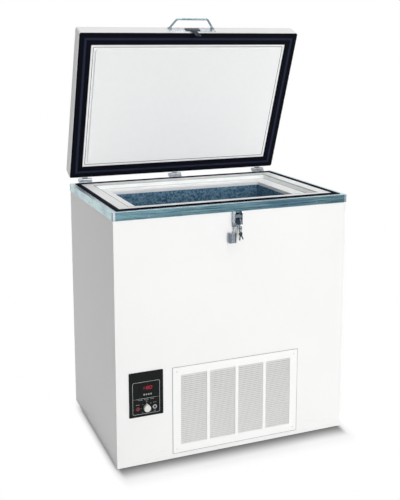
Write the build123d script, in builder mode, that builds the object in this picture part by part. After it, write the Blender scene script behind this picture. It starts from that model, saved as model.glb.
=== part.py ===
"""Chest ultra low temperature freezer with its lid raised.

Millimetres, +Z up, front towards -Y. The origin is on the floor under the middle of the cabinet.
The lid's pieces are drawn in the lid's own plane, which turns with lid_open_angle about the hinge axis.
"""
import os
from math import cos, radians, sin

from build123d import *

os.makedirs("parts", exist_ok=True)

# Cabinet
cabinet_width = 1015.0
cabinet_depth = 690.0
cabinet_height = 1040.0
panel_sheet = 1.5
panel_return = 25.0
panel_lift = 2.0
base_sheet = 3.0
base_upstand = 40.0
seat_gap = 0.3
running_gap = 0.05

# Steel rim, sealing strip, collar and tank
rim_sheet = 2.0
rim_band = 34.0
rim_flange = 24.0
rim_mitre_gap = 0.8
strip_width = 12.0
strip_depth = 3.0
strip_proud = 4.5
collar_sheet = 3.0
collar_shelf = 52.0
collar_step = 22.0
collar_ledge = 60.0
collar_drop = 15.0
tank_sheet = 1.5
tank_lip = 9.0
tank_floor_height = 520.0
coil_tube = 9.5
coil_turns = 9
coil_foot = 20.0
coil_room = 12.0

# Machine compartment
deck_height = 398.0
deck_sheet = 2.0
compressor_radius = 82.0
compressor_share = 0.515
compressor_places = (-0.163, 0.103)
compressor_y = 130.0
compressor_foot_span = 92.0
compressor_foot_sheet = 3.0
grommet_radius = 14.0
grommet_height = 12.0
condenser_cover = 0.89
condenser_share = 0.74
condenser_depth = 60.0
condenser_fin_count = 36
condenser_fin_groove = 4.0
condenser_tube = 9.5
condenser_rows = 6
condenser_space = 22.0
shroud_depth = 34.0
shroud_sheet = 2.0
fan_share = 0.39
fan_tip_gap = 7.0
fan_blades = 5
fan_hub_radius = 30.0
fan_pitch_angle = 28.0
motor_radius = 45.0
motor_length = 80.0
exchanger_radius = 62.0
exchanger_share = 0.73
exchanger_side = 130.0
exchanger_y = 150.0
drier_radius = 14.0
drier_length = 96.0
line_radius = 4.75
line_bend = 16.0
header_drop = 55.0
suction_offset = 40.0
electrical_box_width = 150.0
electrical_box_depth = 110.0
electrical_box_height = 230.0
electrical_box_side = 112.5
gland_radius = 13.0

# Grille
grille_space = 41.5
grille_bottom = 23.0
grille_border = 34.0
grille_sheet = 2.0
grille_wall = 4.0
grille_reach = 11.0
louvre_columns = 4
louvre_cover = 0.4867
louvre_mullion = 13.0
louvre_rows = 35
louvre_share = 0.747487
louvre_slope = 0.7647
louvre_thickness = 1.4

# Control panel
bezel_side = 52.0
bezel_drop = 98.0
bezel_width = 142.0
bezel_height = 186.0
bezel_sheet = 3.0
bezel_overlap = 11.0
display_right = 5.0
display_rise = 16.0
display_width = 64.0
display_height = 58.0
display_depth = 50.0
display_proud = 1.2
window_width = 48.0
window_height = 26.0
window_depth = 0.8
key_count = 4
key_pitch = 9.5
key_width = 5.6
key_height = 6.4
key_length = 7.0
key_proud = 1.6
key_drop = 17.0
key_play = 0.35
lamp_right = -36.2
knob_right = 1.3
switch_right = 34.8
controls_drop = 58.0
lamp_radius = 8.0
lamp_flange = 2.0
knob_radius = 14.0
knob_pointer = 20.0
knob_height = 13.0
knob_shaft_radius = 3.0
switch_radius = 8.5
switch_plug_radius = 5.0

# Latch, padlock and keys on the cabinet front
latch_width = 38.0
latch_drop = 96.0
latch_sheet = 3.0
latch_cheek_drop = 28.0
latch_cheek_reach = 28.0
latch_channel = 28.0
lever_pin_radius = 2.5
lever_pin_y = 21.0
lever_pin_drop = 64.0
lever_play = 0.4
eye_sheet = 3.0
eye_radius = 4.5
eye_y = 15.0
eye_drop = 92.0
eye_reach = 33.0
ear_sheet = 3.0
ear_hole_x = 6.0
ear_hole_radius = 2.6
shackle_rod = 3.0
shackle_span = 22.0
shackle_leg = 14.0
shackle_depth = 8.0
padlock_width = 32.0
padlock_height = 40.0
padlock_thickness = 16.0
key_ring_radius = 10.0
key_ring_wire = 1.1
padlock_key_sheet = 2.0
padlock_key_spacing = 3.2
padlock_key_bow = 7.5
padlock_key_blade = 20.0
padlock_key_fan = (-8.0, 24.0)

# Lid
lid_open_angle = 69.0
lid_thickness = 68.0
lid_gap = 8.5
lid_sheet = 1.5
lid_corner = 10.0
lid_edge_round = 5.0
hinge_back = 14.0
hinge_rise = 10.5
hinge_spacing = 435.0
hinge_count = 3
hinge_leaf_width = 60.0
hinge_leaf_height = 34.0
hinge_leaf_sheet = 3.0
hinge_arm = 7.0
hinge_knuckle_radius = 7.0
hinge_pin_radius = 3.0
hinge_lid_knuckle = 24.0
inner_panel_sheet = 3.0
inner_panel_face = 1.5
inner_field_inset = 74.0
inner_field_drop = 6.0
gasket_inset = 2.0
gasket_width = 54.0
gasket_thickness = 3.4
gasket_bulb_width = 12.0
gasket_bulb_height = 1.6
handle_plate_width = 214.0
handle_plate_height = 44.0
handle_plate_sheet = 4.0
handle_plate_rise = 8.0
handle_rod = 4.5
handle_foot_span = 200.0
handle_grip_span = 142.0
handle_reach = 42.0
handle_foot_radius = 9.0
handle_foot_height = 3.0
strike_width = 66.0
strike_height = 30.0
strike_sheet = 3.0
tongue_width = 24.0
tongue_slot_width = 15.0
tongue_slot_height = 12.0
tongue_slot_drop = 38.0
tongue_tip_drop = 49.0

# Screws
screw_head_radius = 4.0
screw_head_height = 1.8

# Places worked out from the sizes above
half_width = cabinet_width / 2
half_depth = cabinet_depth / 2
panel_top = cabinet_height - rim_sheet - seat_gap
panel_height = panel_top - panel_lift
front_plane = Plane.XZ.offset(half_depth)
rear_plane = Plane.XZ.offset(-half_depth)
strip_inset = rim_flange + seat_gap
collar_inset = rim_flange + strip_width + 2 * seat_gap
step_inset = collar_inset + collar_shelf
tank_inset = step_inset + collar_ledge
tank_top = cabinet_height - collar_step - collar_drop - seat_gap
inside_width = cabinet_width - 2 * (panel_sheet + seat_gap)
inside_depth = cabinet_depth - 4 * (panel_sheet + seat_gap)
compartment_floor = base_sheet
tongue_slot_z = cabinet_height - tongue_slot_drop
tongue_tip_z = cabinet_height - tongue_tip_drop
compressor_height = compressor_share * deck_height
compressor_x = tuple(place * cabinet_width for place in compressor_places)
exchanger_height = exchanger_share * deck_height
exchanger_x = half_width - exchanger_side
electrical_box_x = electrical_box_side - half_width
bezel_x = bezel_side + bezel_width / 2 - half_width
bezel_z = deck_height - bezel_drop
display_x = bezel_x + display_right
display_z = bezel_z + display_rise
lamp_x = bezel_x + lamp_right
knob_x = bezel_x + knob_right
switch_x = bezel_x + switch_right
controls_z = bezel_z - controls_drop
louvre_width = louvre_cover * cabinet_width
louvre_column_width = (louvre_width - (louvre_columns - 1) * louvre_mullion) / louvre_columns
louvre_height = louvre_share * deck_height
louvre_pitch = louvre_height / louvre_rows
louvre_drop = louvre_slope * louvre_pitch
louvre_bottom = grille_bottom + grille_border
grille_width = louvre_width + 2 * grille_border
grille_height = louvre_height + 2 * grille_border
grille_x = bezel_x + bezel_width / 2 + grille_space + grille_width / 2
grille_z = grille_bottom + grille_height / 2
grille_back_width = louvre_width + 2 * grille_wall
grille_back_height = louvre_height + 2 * grille_wall
condenser_width = condenser_cover * louvre_width
condenser_height = condenser_share * deck_height
fan_radius = fan_share * condenser_height


def inset_rectangle(plane, inset):
    """The cabinet's plan drawn in by inset on every side."""
    with BuildSketch(plane) as sketch:
        Rectangle(cabinet_width - 2 * inset, cabinet_depth - 2 * inset)
    return sketch.sketch


def inset_ring(plane, outer_inset, inner_inset):
    """A frame in the cabinet's plan, between two insets."""
    with BuildSketch(plane) as sketch:
        Rectangle(cabinet_width - 2 * outer_inset, cabinet_depth - 2 * outer_inset)
        Rectangle(cabinet_width - 2 * inner_inset, cabinet_depth - 2 * inner_inset, mode=Mode.SUBTRACT)
    return sketch.sketch


# Base pan, the tray that stands on the floor
with BuildPart() as base_pan:
    with BuildSketch():
        Rectangle(inside_width, inside_depth)
    extrude(amount=base_upstand)
    with BuildSketch(Plane.XY.offset(base_sheet)):
        Rectangle(inside_width - 2 * base_sheet, inside_depth - 2 * base_sheet)
    extrude(amount=base_upstand, mode=Mode.SUBTRACT)
base_pan.part.label = "base_pan"
export_step(base_pan.part, "parts/base_pan.step")

# Front panel, with the cut-outs for the grille and the controls
grille_cut_play = 1.0
with BuildPart() as front_panel:
    with BuildSketch(front_plane):
        with Locations((0, panel_lift + panel_height / 2)):
            Rectangle(cabinet_width, panel_height)
        with Locations((grille_x, grille_z)):
            Rectangle(
                grille_back_width + 2 * grille_cut_play,
                grille_back_height + 2 * grille_cut_play,
                mode=Mode.SUBTRACT,
            )
        with Locations((bezel_x, bezel_z)):
            Rectangle(bezel_width - 2 * bezel_overlap, bezel_height - 2 * bezel_overlap, mode=Mode.SUBTRACT)
    extrude(amount=-panel_sheet)
front_panel.part.label = "front_panel"
export_step(front_panel.part, "parts/front_panel.step")


def side_panel(side):
    """A side panel bent inwards at its front and rear edges; side is -1 for left and 1 for right."""
    reach = half_depth - panel_sheet - seat_gap
    with BuildPart() as panel:
        with BuildSketch(Plane.XY.offset(panel_lift)):
            with Locations((side * (half_width - panel_sheet / 2), 0)):
                Rectangle(panel_sheet, 2 * reach)
            with Locations(
                (side * (half_width - panel_return / 2), reach - panel_sheet / 2),
                (side * (half_width - panel_return / 2), panel_sheet / 2 - reach),
            ):
                Rectangle(panel_return, panel_sheet)
        extrude(amount=panel_height)
    return panel


left_side_panel = side_panel(-1)
left_side_panel.part.label = "left_side_panel"
export_step(left_side_panel.part, "parts/left_side_panel.step")

right_side_panel = side_panel(1)
right_side_panel.part.label = "right_side_panel"
export_step(right_side_panel.part, "parts/right_side_panel.step")

# Rear panel, with two columns of air slots and the hole for the cord gland
rear_slot_width = 170.0
rear_slot_height = 7.0
rear_slot_rows = 9
rear_slot_pitch = 20.0
rear_slot_spacing = 330.0
rear_slot_z = 240.0
gland_x = electrical_box_x
gland_z = 110.0
with BuildPart() as rear_panel:
    with BuildSketch(rear_plane):
        with Locations((0, panel_lift + panel_height / 2)):
            Rectangle(cabinet_width, panel_height)
        with Locations((0, rear_slot_z)):
            with GridLocations(rear_slot_spacing, rear_slot_pitch, 2, rear_slot_rows):
                SlotOverall(rear_slot_width, rear_slot_height, mode=Mode.SUBTRACT)
        with Locations((gland_x, gland_z)):
            Circle(gland_radius, mode=Mode.SUBTRACT)
    extrude(amount=panel_sheet)
rear_panel.part.label = "rear_panel"
export_step(rear_panel.part, "parts/rear_panel.step")


def rim_angle(plane, half_length, half_across):
    """One mitred angle of the rim: a top flange and an outer band; the plane's -Y points outwards."""
    outer = half_across + rim_sheet
    end = half_length + rim_sheet - rim_mitre_gap / 2
    inner_end = end - rim_flange - rim_sheet
    band_end = end - rim_sheet
    with BuildPart() as angle:
        with BuildSketch(plane.offset(cabinet_height - rim_sheet)):
            with BuildLine():
                Polyline(
                    (-end, -outer),
                    (end, -outer),
                    (inner_end, rim_flange - half_across),
                    (-inner_end, rim_flange - half_across),
                    close=True,
                )
            make_face()
        extrude(amount=rim_sheet)
        with BuildSketch(plane.offset(cabinet_height - rim_band)):
            with BuildLine():
                Polyline(
                    (-end, -outer),
                    (end, -outer),
                    (band_end, -half_across),
                    (-band_end, -half_across),
                    close=True,
                )
            make_face()
        extrude(amount=rim_band - rim_sheet)
    return angle


rim_front = rim_angle(Plane.XY, half_width, half_depth)
rim_front.part.label = "rim_front"
export_step(rim_front.part, "parts/rim_front.step")

rim_rear = rim_angle(Plane((0, 0, 0), x_dir=(-1, 0, 0), z_dir=(0, 0, 1)), half_width, half_depth)
rim_rear.part.label = "rim_rear"
export_step(rim_rear.part, "parts/rim_rear.step")

rim_left = rim_angle(Plane((0, 0, 0), x_dir=(0, -1, 0), z_dir=(0, 0, 1)), half_depth, half_width)
rim_left.part.label = "rim_left"
export_step(rim_left.part, "parts/rim_left.step")

rim_right = rim_angle(Plane((0, 0, 0), x_dir=(0, 1, 0), z_dir=(0, 0, 1)), half_depth, half_width)
rim_right.part.label = "rim_right"
export_step(rim_right.part, "parts/rim_right.step")

# Rim screws: two on the front and rear bands, three on each side band
rim_screw_z = cabinet_height - rim_band + 10.0
rim_screw_front_spacing = 730.0
rim_screw_side_spacing = 230.0
band_face_y = half_depth + rim_sheet
band_face_x = half_width + rim_sheet
with BuildPart() as rim_screws:
    for face_plane, spacing, count in (
        (Plane.XZ.offset(band_face_y), rim_screw_front_spacing, 2),
        (Plane((0, band_face_y, 0), x_dir=(-1, 0, 0), z_dir=(0, 1, 0)), rim_screw_front_spacing, 2),
        (Plane((-band_face_x, 0, 0), x_dir=(0, -1, 0), z_dir=(-1, 0, 0)), rim_screw_side_spacing, 3),
        (Plane((band_face_x, 0, 0), x_dir=(0, 1, 0), z_dir=(1, 0, 0)), rim_screw_side_spacing, 3),
    ):
        with BuildSketch(face_plane):
            with Locations((0, rim_screw_z)):
                with GridLocations(spacing, 1, count, 1):
                    Circle(screw_head_radius)
        extrude(amount=screw_head_height, taper=25)
rim_screws.part.label = "rim_screws"
export_step(rim_screws.part, "parts/rim_screws.step")

# Black sealing strip set into the rim, with its upper edges eased
strip_bottom = cabinet_height - strip_depth
with BuildPart() as rim_strip:
    extrude(
        inset_ring(Plane.XY.offset(strip_bottom), strip_inset, strip_inset + strip_width),
        amount=strip_depth + strip_proud,
    )
    chamfer(rim_strip.faces().sort_by(Axis.Z)[-1].edges(), strip_proud / 4)
rim_strip.part.label = "rim_strip"
export_step(rim_strip.part, "parts/rim_strip.step")

# White stepped collar between the strip and the tank
step_level = cabinet_height - collar_step
with BuildPart() as opening_collar:
    extrude(
        inset_ring(Plane.XY.offset(cabinet_height - collar_sheet), collar_inset, step_inset),
        amount=collar_sheet,
    )
    extrude(
        inset_ring(Plane.XY.offset(step_level - collar_sheet), step_inset - collar_sheet, step_inset),
        amount=collar_step + collar_sheet,
    )
    extrude(
        inset_ring(Plane.XY.offset(step_level - collar_sheet), step_inset - collar_sheet, tank_inset),
        amount=collar_sheet,
    )
    extrude(
        inset_ring(Plane.XY.offset(step_level - collar_drop), tank_inset - collar_sheet, tank_inset),
        amount=collar_drop,
    )
opening_collar.part.label = "opening_collar"
export_step(opening_collar.part, "parts/opening_collar.step")

# Galvanised inner tank with a lip turned out under the collar
tank_wall_inset = tank_inset - tank_sheet
with BuildPart() as inner_tank:
    extrude(inset_rectangle(Plane.XY.offset(tank_floor_height - tank_sheet), tank_wall_inset),
            amount=tank_top - tank_floor_height + tank_sheet)
    extrude(
        inset_rectangle(Plane.XY.offset(tank_top - tank_sheet), tank_wall_inset - tank_lip),
        amount=tank_sheet,
    )
    extrude(inset_rectangle(Plane.XY.offset(tank_floor_height), tank_inset),
            amount=tank_top - tank_floor_height, mode=Mode.SUBTRACT)
inner_tank.part.label = "inner_tank"
export_step(inner_tank.part, "parts/inner_tank.step")

# Evaporator: turns of tube round the tank between two upright headers that pass down to the compartment
coil_inset = tank_wall_inset - coil_tube - seat_gap
coil_top = tank_top - tank_sheet - 3 * coil_tube
coil_pitch = (coil_top - tank_floor_height - coil_foot) / (coil_turns - 1)
header_spacing = 300.0
header_y = half_depth - coil_inset - coil_tube / 2
header_end = deck_height - 40.0
header_play = 1.5
with BuildPart() as evaporator_coil:
    for turn in range(coil_turns):
        extrude(
            inset_ring(Plane.XY.offset(coil_top - turn * coil_pitch), coil_inset, coil_inset + coil_tube),
            amount=coil_tube,
        )
    with BuildSketch(Plane.XY.offset(header_end)):
        with Locations((0, header_y)):
            with GridLocations(header_spacing, 1, 2, 1):
                Circle(line_radius)
    extrude(amount=coil_top + coil_tube - header_end)
evaporator_coil.part.label = "evaporator_coil"
export_step(evaporator_coil.part, "parts/evaporator_coil.step")

# Machine deck, the compartment's ceiling
with BuildPart() as machine_deck:
    with BuildSketch(Plane.XY.offset(deck_height - deck_sheet)):
        Rectangle(inside_width, inside_depth)
        with Locations((0, header_y)):
            with GridLocations(header_spacing, 1, 2, 1):
                Circle(line_radius + header_play, mode=Mode.SUBTRACT)
    extrude(amount=deck_sheet)
machine_deck.part.label = "machine_deck"
export_step(machine_deck.part, "parts/machine_deck.step")

# Foamed insulation round the tank, with room for the coil, the collar and the headers
foam_bottom = deck_height + seat_gap
foam_cavity_inset = tank_wall_inset - coil_room
foam_step = step_level - collar_sheet
with BuildPart() as cabinet_insulation:
    with BuildSketch(Plane.XY.offset(foam_bottom)):
        Rectangle(inside_width, inside_depth)
    extrude(amount=panel_top - foam_bottom)
    extrude(inset_rectangle(Plane.XY.offset(strip_bottom - seat_gap), rim_flange),
            amount=cabinet_height, mode=Mode.SUBTRACT)
    extrude(
        inset_rectangle(Plane.XY.offset(foam_step - seat_gap), step_inset - collar_sheet - seat_gap),
        amount=cabinet_height,
        mode=Mode.SUBTRACT,
    )
    extrude(
        inset_rectangle(Plane.XY.offset(tank_floor_height - tank_sheet - seat_gap), foam_cavity_inset),
        amount=cabinet_height,
        mode=Mode.SUBTRACT,
    )
    with BuildSketch(Plane.XY.offset(foam_bottom)):
        with Locations((0, header_y)):
            with GridLocations(header_spacing, 1, 2, 1):
                Circle(line_radius + header_play)
    extrude(amount=tank_floor_height - foam_bottom, mode=Mode.SUBTRACT)
cabinet_insulation.part.label = "cabinet_insulation"
export_step(cabinet_insulation.part, "parts/cabinet_insulation.step")

# Compressor grommets, one under each corner of both foot plates
foot_z = compartment_floor + grommet_height
with BuildPart() as compressor_grommets:
    with BuildSketch(Plane.XY.offset(compartment_floor)):
        for x in compressor_x:
            with Locations((x, compressor_y)):
                with GridLocations(2 * compressor_foot_span, 2 * compressor_foot_span * 0.7, 2, 2):
                    Circle(grommet_radius)
    extrude(amount=grommet_height)
    chamfer(compressor_grommets.faces().filter_by(Axis.Z).edges(), 2.0)
compressor_grommets.part.label = "compressor_grommets"
export_step(compressor_grommets.part, "parts/compressor_grommets.step")


def compressor(x):
    """A welded compressor can with a rounded top, a seam band and a foot plate."""
    can_bottom = foot_z + compressor_foot_sheet
    seam_z = can_bottom + compressor_height * 0.5
    with BuildPart() as can:
        with BuildSketch(Plane.XY.offset(can_bottom)):
            with Locations((x, compressor_y)):
                Circle(compressor_radius)
        extrude(amount=compressor_height)
        fillet(can.faces().sort_by(Axis.Z)[-1].edges(), compressor_radius * 0.45)
        with BuildSketch(Plane.XY.offset(seam_z)):
            with Locations((x, compressor_y)):
                Circle(compressor_radius + 4.0)
        extrude(amount=12.0)
        with BuildSketch(Plane.XY.offset(foot_z)):
            with Locations((x, compressor_y)):
                RectangleRounded(
                    2 * (compressor_foot_span + grommet_radius),
                    2 * (compressor_foot_span * 0.7 + grommet_radius),
                    grommet_radius,
                )
        extrude(amount=compressor_foot_sheet)
    return can


first_stage_compressor = compressor(compressor_x[0])
first_stage_compressor.part.label = "first_stage_compressor"
export_step(first_stage_compressor.part, "parts/first_stage_compressor.step")

second_stage_compressor = compressor(compressor_x[1])
second_stage_compressor.part.label = "second_stage_compressor"
export_step(second_stage_compressor.part, "parts/second_stage_compressor.step")

# Condenser: a finned core standing on the base pan behind the grille, with return bends on both ends
condenser_front = -half_depth + grille_reach + condenser_space
condenser_bottom = compartment_floor + seat_gap
condenser_z = condenser_bottom + condenser_height / 2
condenser_y = condenser_front + condenser_depth / 2
fin_pitch = condenser_width / (condenser_fin_count + 1)
bend_pitch = condenser_height / (condenser_rows + 1)
with BuildPart() as condenser:
    with BuildSketch(Plane.XY.offset(condenser_bottom)):
        with Locations((grille_x, condenser_y)):
            Rectangle(condenser_width, condenser_depth)
        with Locations((grille_x, condenser_front), (grille_x, condenser_front + condenser_depth)):
            with GridLocations(fin_pitch, 1, condenser_fin_count, 1):
                Rectangle(condenser_fin_groove, 2 * condenser_depth / 5, mode=Mode.SUBTRACT)
    extrude(amount=condenser_height)
    for end in (-1, 1):
        for row in range(condenser_rows // 2):
            bend_z = condenser_bottom + (2 * row + 1 + (end + 1) / 4) * bend_pitch
            bend_x = grille_x + end * condenser_width / 2
            with BuildSketch(Plane((bend_x, condenser_y, bend_z), x_dir=(0, 0, 1), z_dir=(0, 1, 0))):
                with Locations((bend_pitch / 2, 0)):
                    Circle(bend_pitch / 2 + condenser_tube / 2)
                    Circle(bend_pitch / 2 - condenser_tube / 2, mode=Mode.SUBTRACT)
            extrude(amount=condenser_tube / 2, both=True)
condenser.part.label = "condenser"
export_step(condenser.part, "parts/condenser.step")

# Fan shroud behind the condenser: a shallow box with a round throat
shroud_front = condenser_front + condenser_depth + seat_gap
shroud_plane = Plane.XZ.offset(-shroud_front)
throat_radius = fan_radius + fan_tip_gap
with BuildPart() as fan_shroud:
    with BuildSketch(shroud_plane):
        with Locations((grille_x, condenser_z)):
            Rectangle(condenser_width, condenser_height)
    extrude(amount=-shroud_depth)
    with BuildSketch(shroud_plane):
        with Locations((grille_x, condenser_z)):
            Rectangle(condenser_width - 2 * shroud_sheet, condenser_height - 2 * shroud_sheet)
    extrude(amount=shroud_sheet - shroud_depth, mode=Mode.SUBTRACT)
    with BuildSketch(shroud_plane.offset(-shroud_depth)):
        with Locations((grille_x, condenser_z)):
            Circle(throat_radius)
    extrude(amount=shroud_depth, both=True, mode=Mode.SUBTRACT)
fan_shroud.part.label = "fan_shroud"
export_step(fan_shroud.part, "parts/fan_shroud.step")

# Fan motor behind the throat, on a strap across the shroud's back
strap_width = 24.0
strap_sheet = 3.0
motor_shaft_radius = 4.0
motor_shaft_length = 22.0
motor_front = shroud_front + shroud_depth + seat_gap
motor_plane = Plane.XZ.offset(-motor_front)
with BuildPart() as fan_motor:
    with BuildSketch(motor_plane):
        with Locations((grille_x, condenser_z)):
            Rectangle(2 * throat_radius + 2 * strap_width, strap_width)
            Circle(motor_radius)
    extrude(amount=-strap_sheet)
    with BuildSketch(motor_plane.offset(-strap_sheet)):
        with Locations((grille_x, condenser_z)):
            Circle(motor_radius)
    extrude(amount=-motor_length)
    fillet(fan_motor.faces().sort_by(Axis.Y)[-1].edges(), 12.0)
    with BuildSketch(motor_plane):
        with Locations((grille_x, condenser_z)):
            Circle(motor_shaft_radius)
    extrude(amount=motor_shaft_length)
fan_motor.part.label = "fan_motor"
export_step(fan_motor.part, "parts/fan_motor.step")

# Fan blade: a hub on the motor's shaft with pitched blades
hub_depth = 16.0
hub_back = motor_front - 6.0
blade_sheet = 1.6
blade_start = 0.87 * fan_hub_radius
blade_root = 0.43 * fan_hub_radius
blade_shoulder = 0.9 * fan_radius
blade_lead = 0.19 * fan_radius
blade_trail = 0.22 * fan_radius
hub_centre = Vector(grille_x, hub_back - hub_depth / 2, condenser_z)
with BuildPart() as fan_blade:
    with BuildSketch(Plane.XZ.offset(-hub_back)):
        with Locations((grille_x, condenser_z)):
            Circle(fan_hub_radius)
            Circle(motor_shaft_radius + running_gap, mode=Mode.SUBTRACT)
    extrude(amount=hub_depth)
    for blade in range(fan_blades):
        turn = radians(360 / fan_blades * blade)
        pitch = radians(fan_pitch_angle)
        radial = Vector(cos(turn), 0, sin(turn))
        along = Vector(-sin(turn), 0, cos(turn))
        normal = along * sin(pitch) + Vector(0, -1, 0) * cos(pitch)
        with BuildSketch(Plane(hub_centre, x_dir=radial, z_dir=normal)):
            with BuildLine():
                Polyline((blade_start, blade_root), (blade_start, -blade_root), (blade_shoulder, -blade_lead))
                ThreePointArc((blade_shoulder, -blade_lead), (fan_radius, 0), (blade_shoulder, blade_trail))
                Line((blade_shoulder, blade_trail), (blade_start, blade_root))
            make_face()
        extrude(amount=blade_sheet / 2, both=True)
fan_blade.part.label = "fan_blade"
export_step(fan_blade.part, "parts/fan_blade.step")

# Cascade heat exchanger, an insulated upright cylinder standing on the base pan
exchanger_round = 18.0
with BuildPart() as cascade_exchanger:
    with BuildSketch(Plane.XY.offset(compartment_floor)):
        with Locations((exchanger_x, exchanger_y)):
            Circle(exchanger_radius)
    extrude(amount=exchanger_height)
    fillet(cascade_exchanger.faces().sort_by(Axis.Z)[-1].edges(), exchanger_round)
cascade_exchanger.part.label = "cascade_exchanger"
export_step(cascade_exchanger.part, "parts/cascade_exchanger.step")

# Filter driers: spun copper cartridges lying in the two liquid lines
compressor_top = foot_z + compressor_foot_sheet + compressor_height
drier_z = compressor_top + drier_radius + 12.0
drier_neck = line_radius + 1.5
drier_y = (exchanger_y - 30.0, exchanger_y + 30.0)
drier_right = exchanger_x - exchanger_radius - 36.0
drier_left = drier_right - drier_length
with BuildPart() as filter_driers:
    for y in drier_y:
        with BuildSketch(Plane((0, y, drier_z), x_dir=(1, 0, 0), z_dir=(0, -1, 0))):
            with BuildLine():
                Polyline(
                    (drier_left, 0),
                    (drier_left, drier_neck),
                    (drier_left + 10, drier_neck),
                    (drier_left + 22, drier_radius),
                    (drier_right - 22, drier_radius),
                    (drier_right - 10, drier_neck),
                    (drier_right, drier_neck),
                    (drier_right, 0),
                    close=True,
                )
            make_face()
        revolve(axis=Axis((0, y, drier_z), (1, 0, 0)))
filter_driers.part.label = "filter_driers"
export_step(filter_driers.part, "parts/filter_driers.step")

# Refrigerant lines between compressors, condenser, driers, exchanger and coil headers
header_x = header_spacing / 2
first_x, second_x = compressor_x
condenser_port_x = grille_x - condenser_width / 2 + 40.0
condenser_top = condenser_bottom + condenser_height
exchanger_top = compartment_floor + exchanger_height
line_level = max(compressor_top, condenser_top, exchanger_top) + 2.5 * line_bend
upper_line_level = line_level + 2 * line_bend
line_routes = (
    (
        (first_x, compressor_y, compressor_top + seat_gap),
        (first_x, compressor_y, line_level),
        (condenser_port_x, condenser_y, line_level),
        (condenser_port_x, condenser_y, condenser_top + seat_gap),
    ),
    (
        (second_x, compressor_y, compressor_top + seat_gap),
        (second_x, compressor_y, upper_line_level),
        (exchanger_x, exchanger_y, upper_line_level),
        (exchanger_x, exchanger_y, exchanger_top + seat_gap),
    ),
    (
        (drier_right + seat_gap, drier_y[0], drier_z),
        (exchanger_x - exchanger_radius + 6.0, drier_y[0], drier_z),
    ),
    (
        (drier_right + seat_gap, drier_y[1], drier_z),
        (exchanger_x - exchanger_radius + 6.0, drier_y[1], drier_z),
    ),
    (
        (header_x, header_y, header_end - seat_gap),
        (header_x, header_y, header_end - header_drop),
        (second_x + suction_offset, compressor_y + suction_offset / 2, header_end - header_drop),
        (second_x + suction_offset, compressor_y + suction_offset / 2, compressor_top - line_radius),
    ),
)
with BuildPart() as refrigerant_lines:
    for route in line_routes:
        with BuildLine() as run:
            if len(route) > 2:
                FilletPolyline(*route, radius=line_bend)
            else:
                Line(*route)
        with BuildSketch(Plane(run.line @ 0, z_dir=run.line % 0)):
            Circle(line_radius)
        sweep()
    for solid in (first_stage_compressor.part, second_stage_compressor.part, cascade_exchanger.part):
        add(solid, mode=Mode.SUBTRACT)
refrigerant_lines.part.label = "refrigerant_lines"
export_step(refrigerant_lines.part, "parts/refrigerant_lines.step")

# Electrical box standing on the base pan by the rear panel
box_back = half_depth - 2 * panel_sheet - 2 * seat_gap
with BuildPart() as electrical_box:
    with BuildSketch(Plane.XY.offset(compartment_floor)):
        with Locations((electrical_box_x, box_back - electrical_box_depth / 2 - base_sheet)):
            Rectangle(electrical_box_width, electrical_box_depth)
    extrude(amount=electrical_box_height)
    fillet(electrical_box.edges().filter_by(Axis.Z), 4.0)
electrical_box.part.label = "electrical_box"
export_step(electrical_box.part, "parts/electrical_box.step")

# Cord gland in the rear panel, with its hexagon and a blind cord hole
gland_flange = 20.0
gland_nut = 12.0
gland_hole = 5.0
gland_plane = Plane((gland_x, half_depth, gland_z), x_dir=(-1, 0, 0), z_dir=(0, 1, 0))
with BuildPart() as cord_gland:
    with BuildSketch(gland_plane):
        RegularPolygon(gland_flange, 6)
    extrude(amount=gland_nut)
    with BuildSketch(gland_plane.offset(gland_nut)):
        Circle(gland_radius + 3)
    extrude(amount=gland_nut)
    with BuildSketch(gland_plane):
        Circle(gland_radius - seat_gap)
    extrude(amount=-2 * panel_sheet)
    with BuildSketch(gland_plane.offset(2 * gland_nut)):
        Circle(gland_hole)
    extrude(amount=-2 * gland_nut, mode=Mode.SUBTRACT)
cord_gland.part.label = "cord_gland"
export_step(cord_gland.part, "parts/cord_gland.step")

# Grille: a stamped face with four columns of slanted louvres in deep surrounds
column_pitch = louvre_column_width + louvre_mullion
louvre_left = grille_x - louvre_width / 2
with BuildPart() as grille:
    with BuildSketch(front_plane):
        with Locations((grille_x, grille_z)):
            Rectangle(grille_width, grille_height)
    extrude(amount=grille_sheet)
    chamfer(grille.faces().sort_by(Axis.Y)[0].edges(), grille_sheet / 2)
    with BuildSketch(front_plane):
        with Locations((grille_x, grille_z)):
            Rectangle(grille_back_width, grille_back_height)
    extrude(amount=-grille_reach)
    with BuildSketch(front_plane.offset(grille_sheet)):
        with Locations((grille_x, grille_z)):
            with GridLocations(column_pitch, 1, louvre_columns, 1):
                Rectangle(louvre_column_width, louvre_height)
    extrude(amount=-grille_sheet - grille_reach, mode=Mode.SUBTRACT)
    for column in range(louvre_columns):
        with BuildSketch(Plane.YZ.offset(louvre_left + column * column_pitch)):
            for row in range(louvre_rows):
                low = louvre_bottom + seat_gap + row * louvre_pitch
                front_edge = -half_depth - grille_sheet / 2
                back_edge = -half_depth + grille_reach - 1.0
                with BuildLine():
                    Polyline(
                        (front_edge, low),
                        (back_edge, low + louvre_drop),
                        (back_edge, low + louvre_drop + louvre_thickness),
                        (front_edge, low + louvre_thickness),
                        close=True,
                    )
                make_face()
        extrude(amount=louvre_column_width)
grille.part.label = "grille"
export_step(grille.part, "parts/grille.step")

# Grille screws in the four corners of its border
with BuildPart() as grille_screws:
    with BuildSketch(front_plane.offset(grille_sheet)):
        with Locations((grille_x, grille_z)):
            with GridLocations(grille_width - grille_border, grille_height - grille_border, 2, 2):
                Circle(screw_head_radius)
    extrude(amount=screw_head_height, taper=25)
grille_screws.part.label = "grille_screws"
export_step(grille_screws.part, "parts/grille_screws.step")

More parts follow.
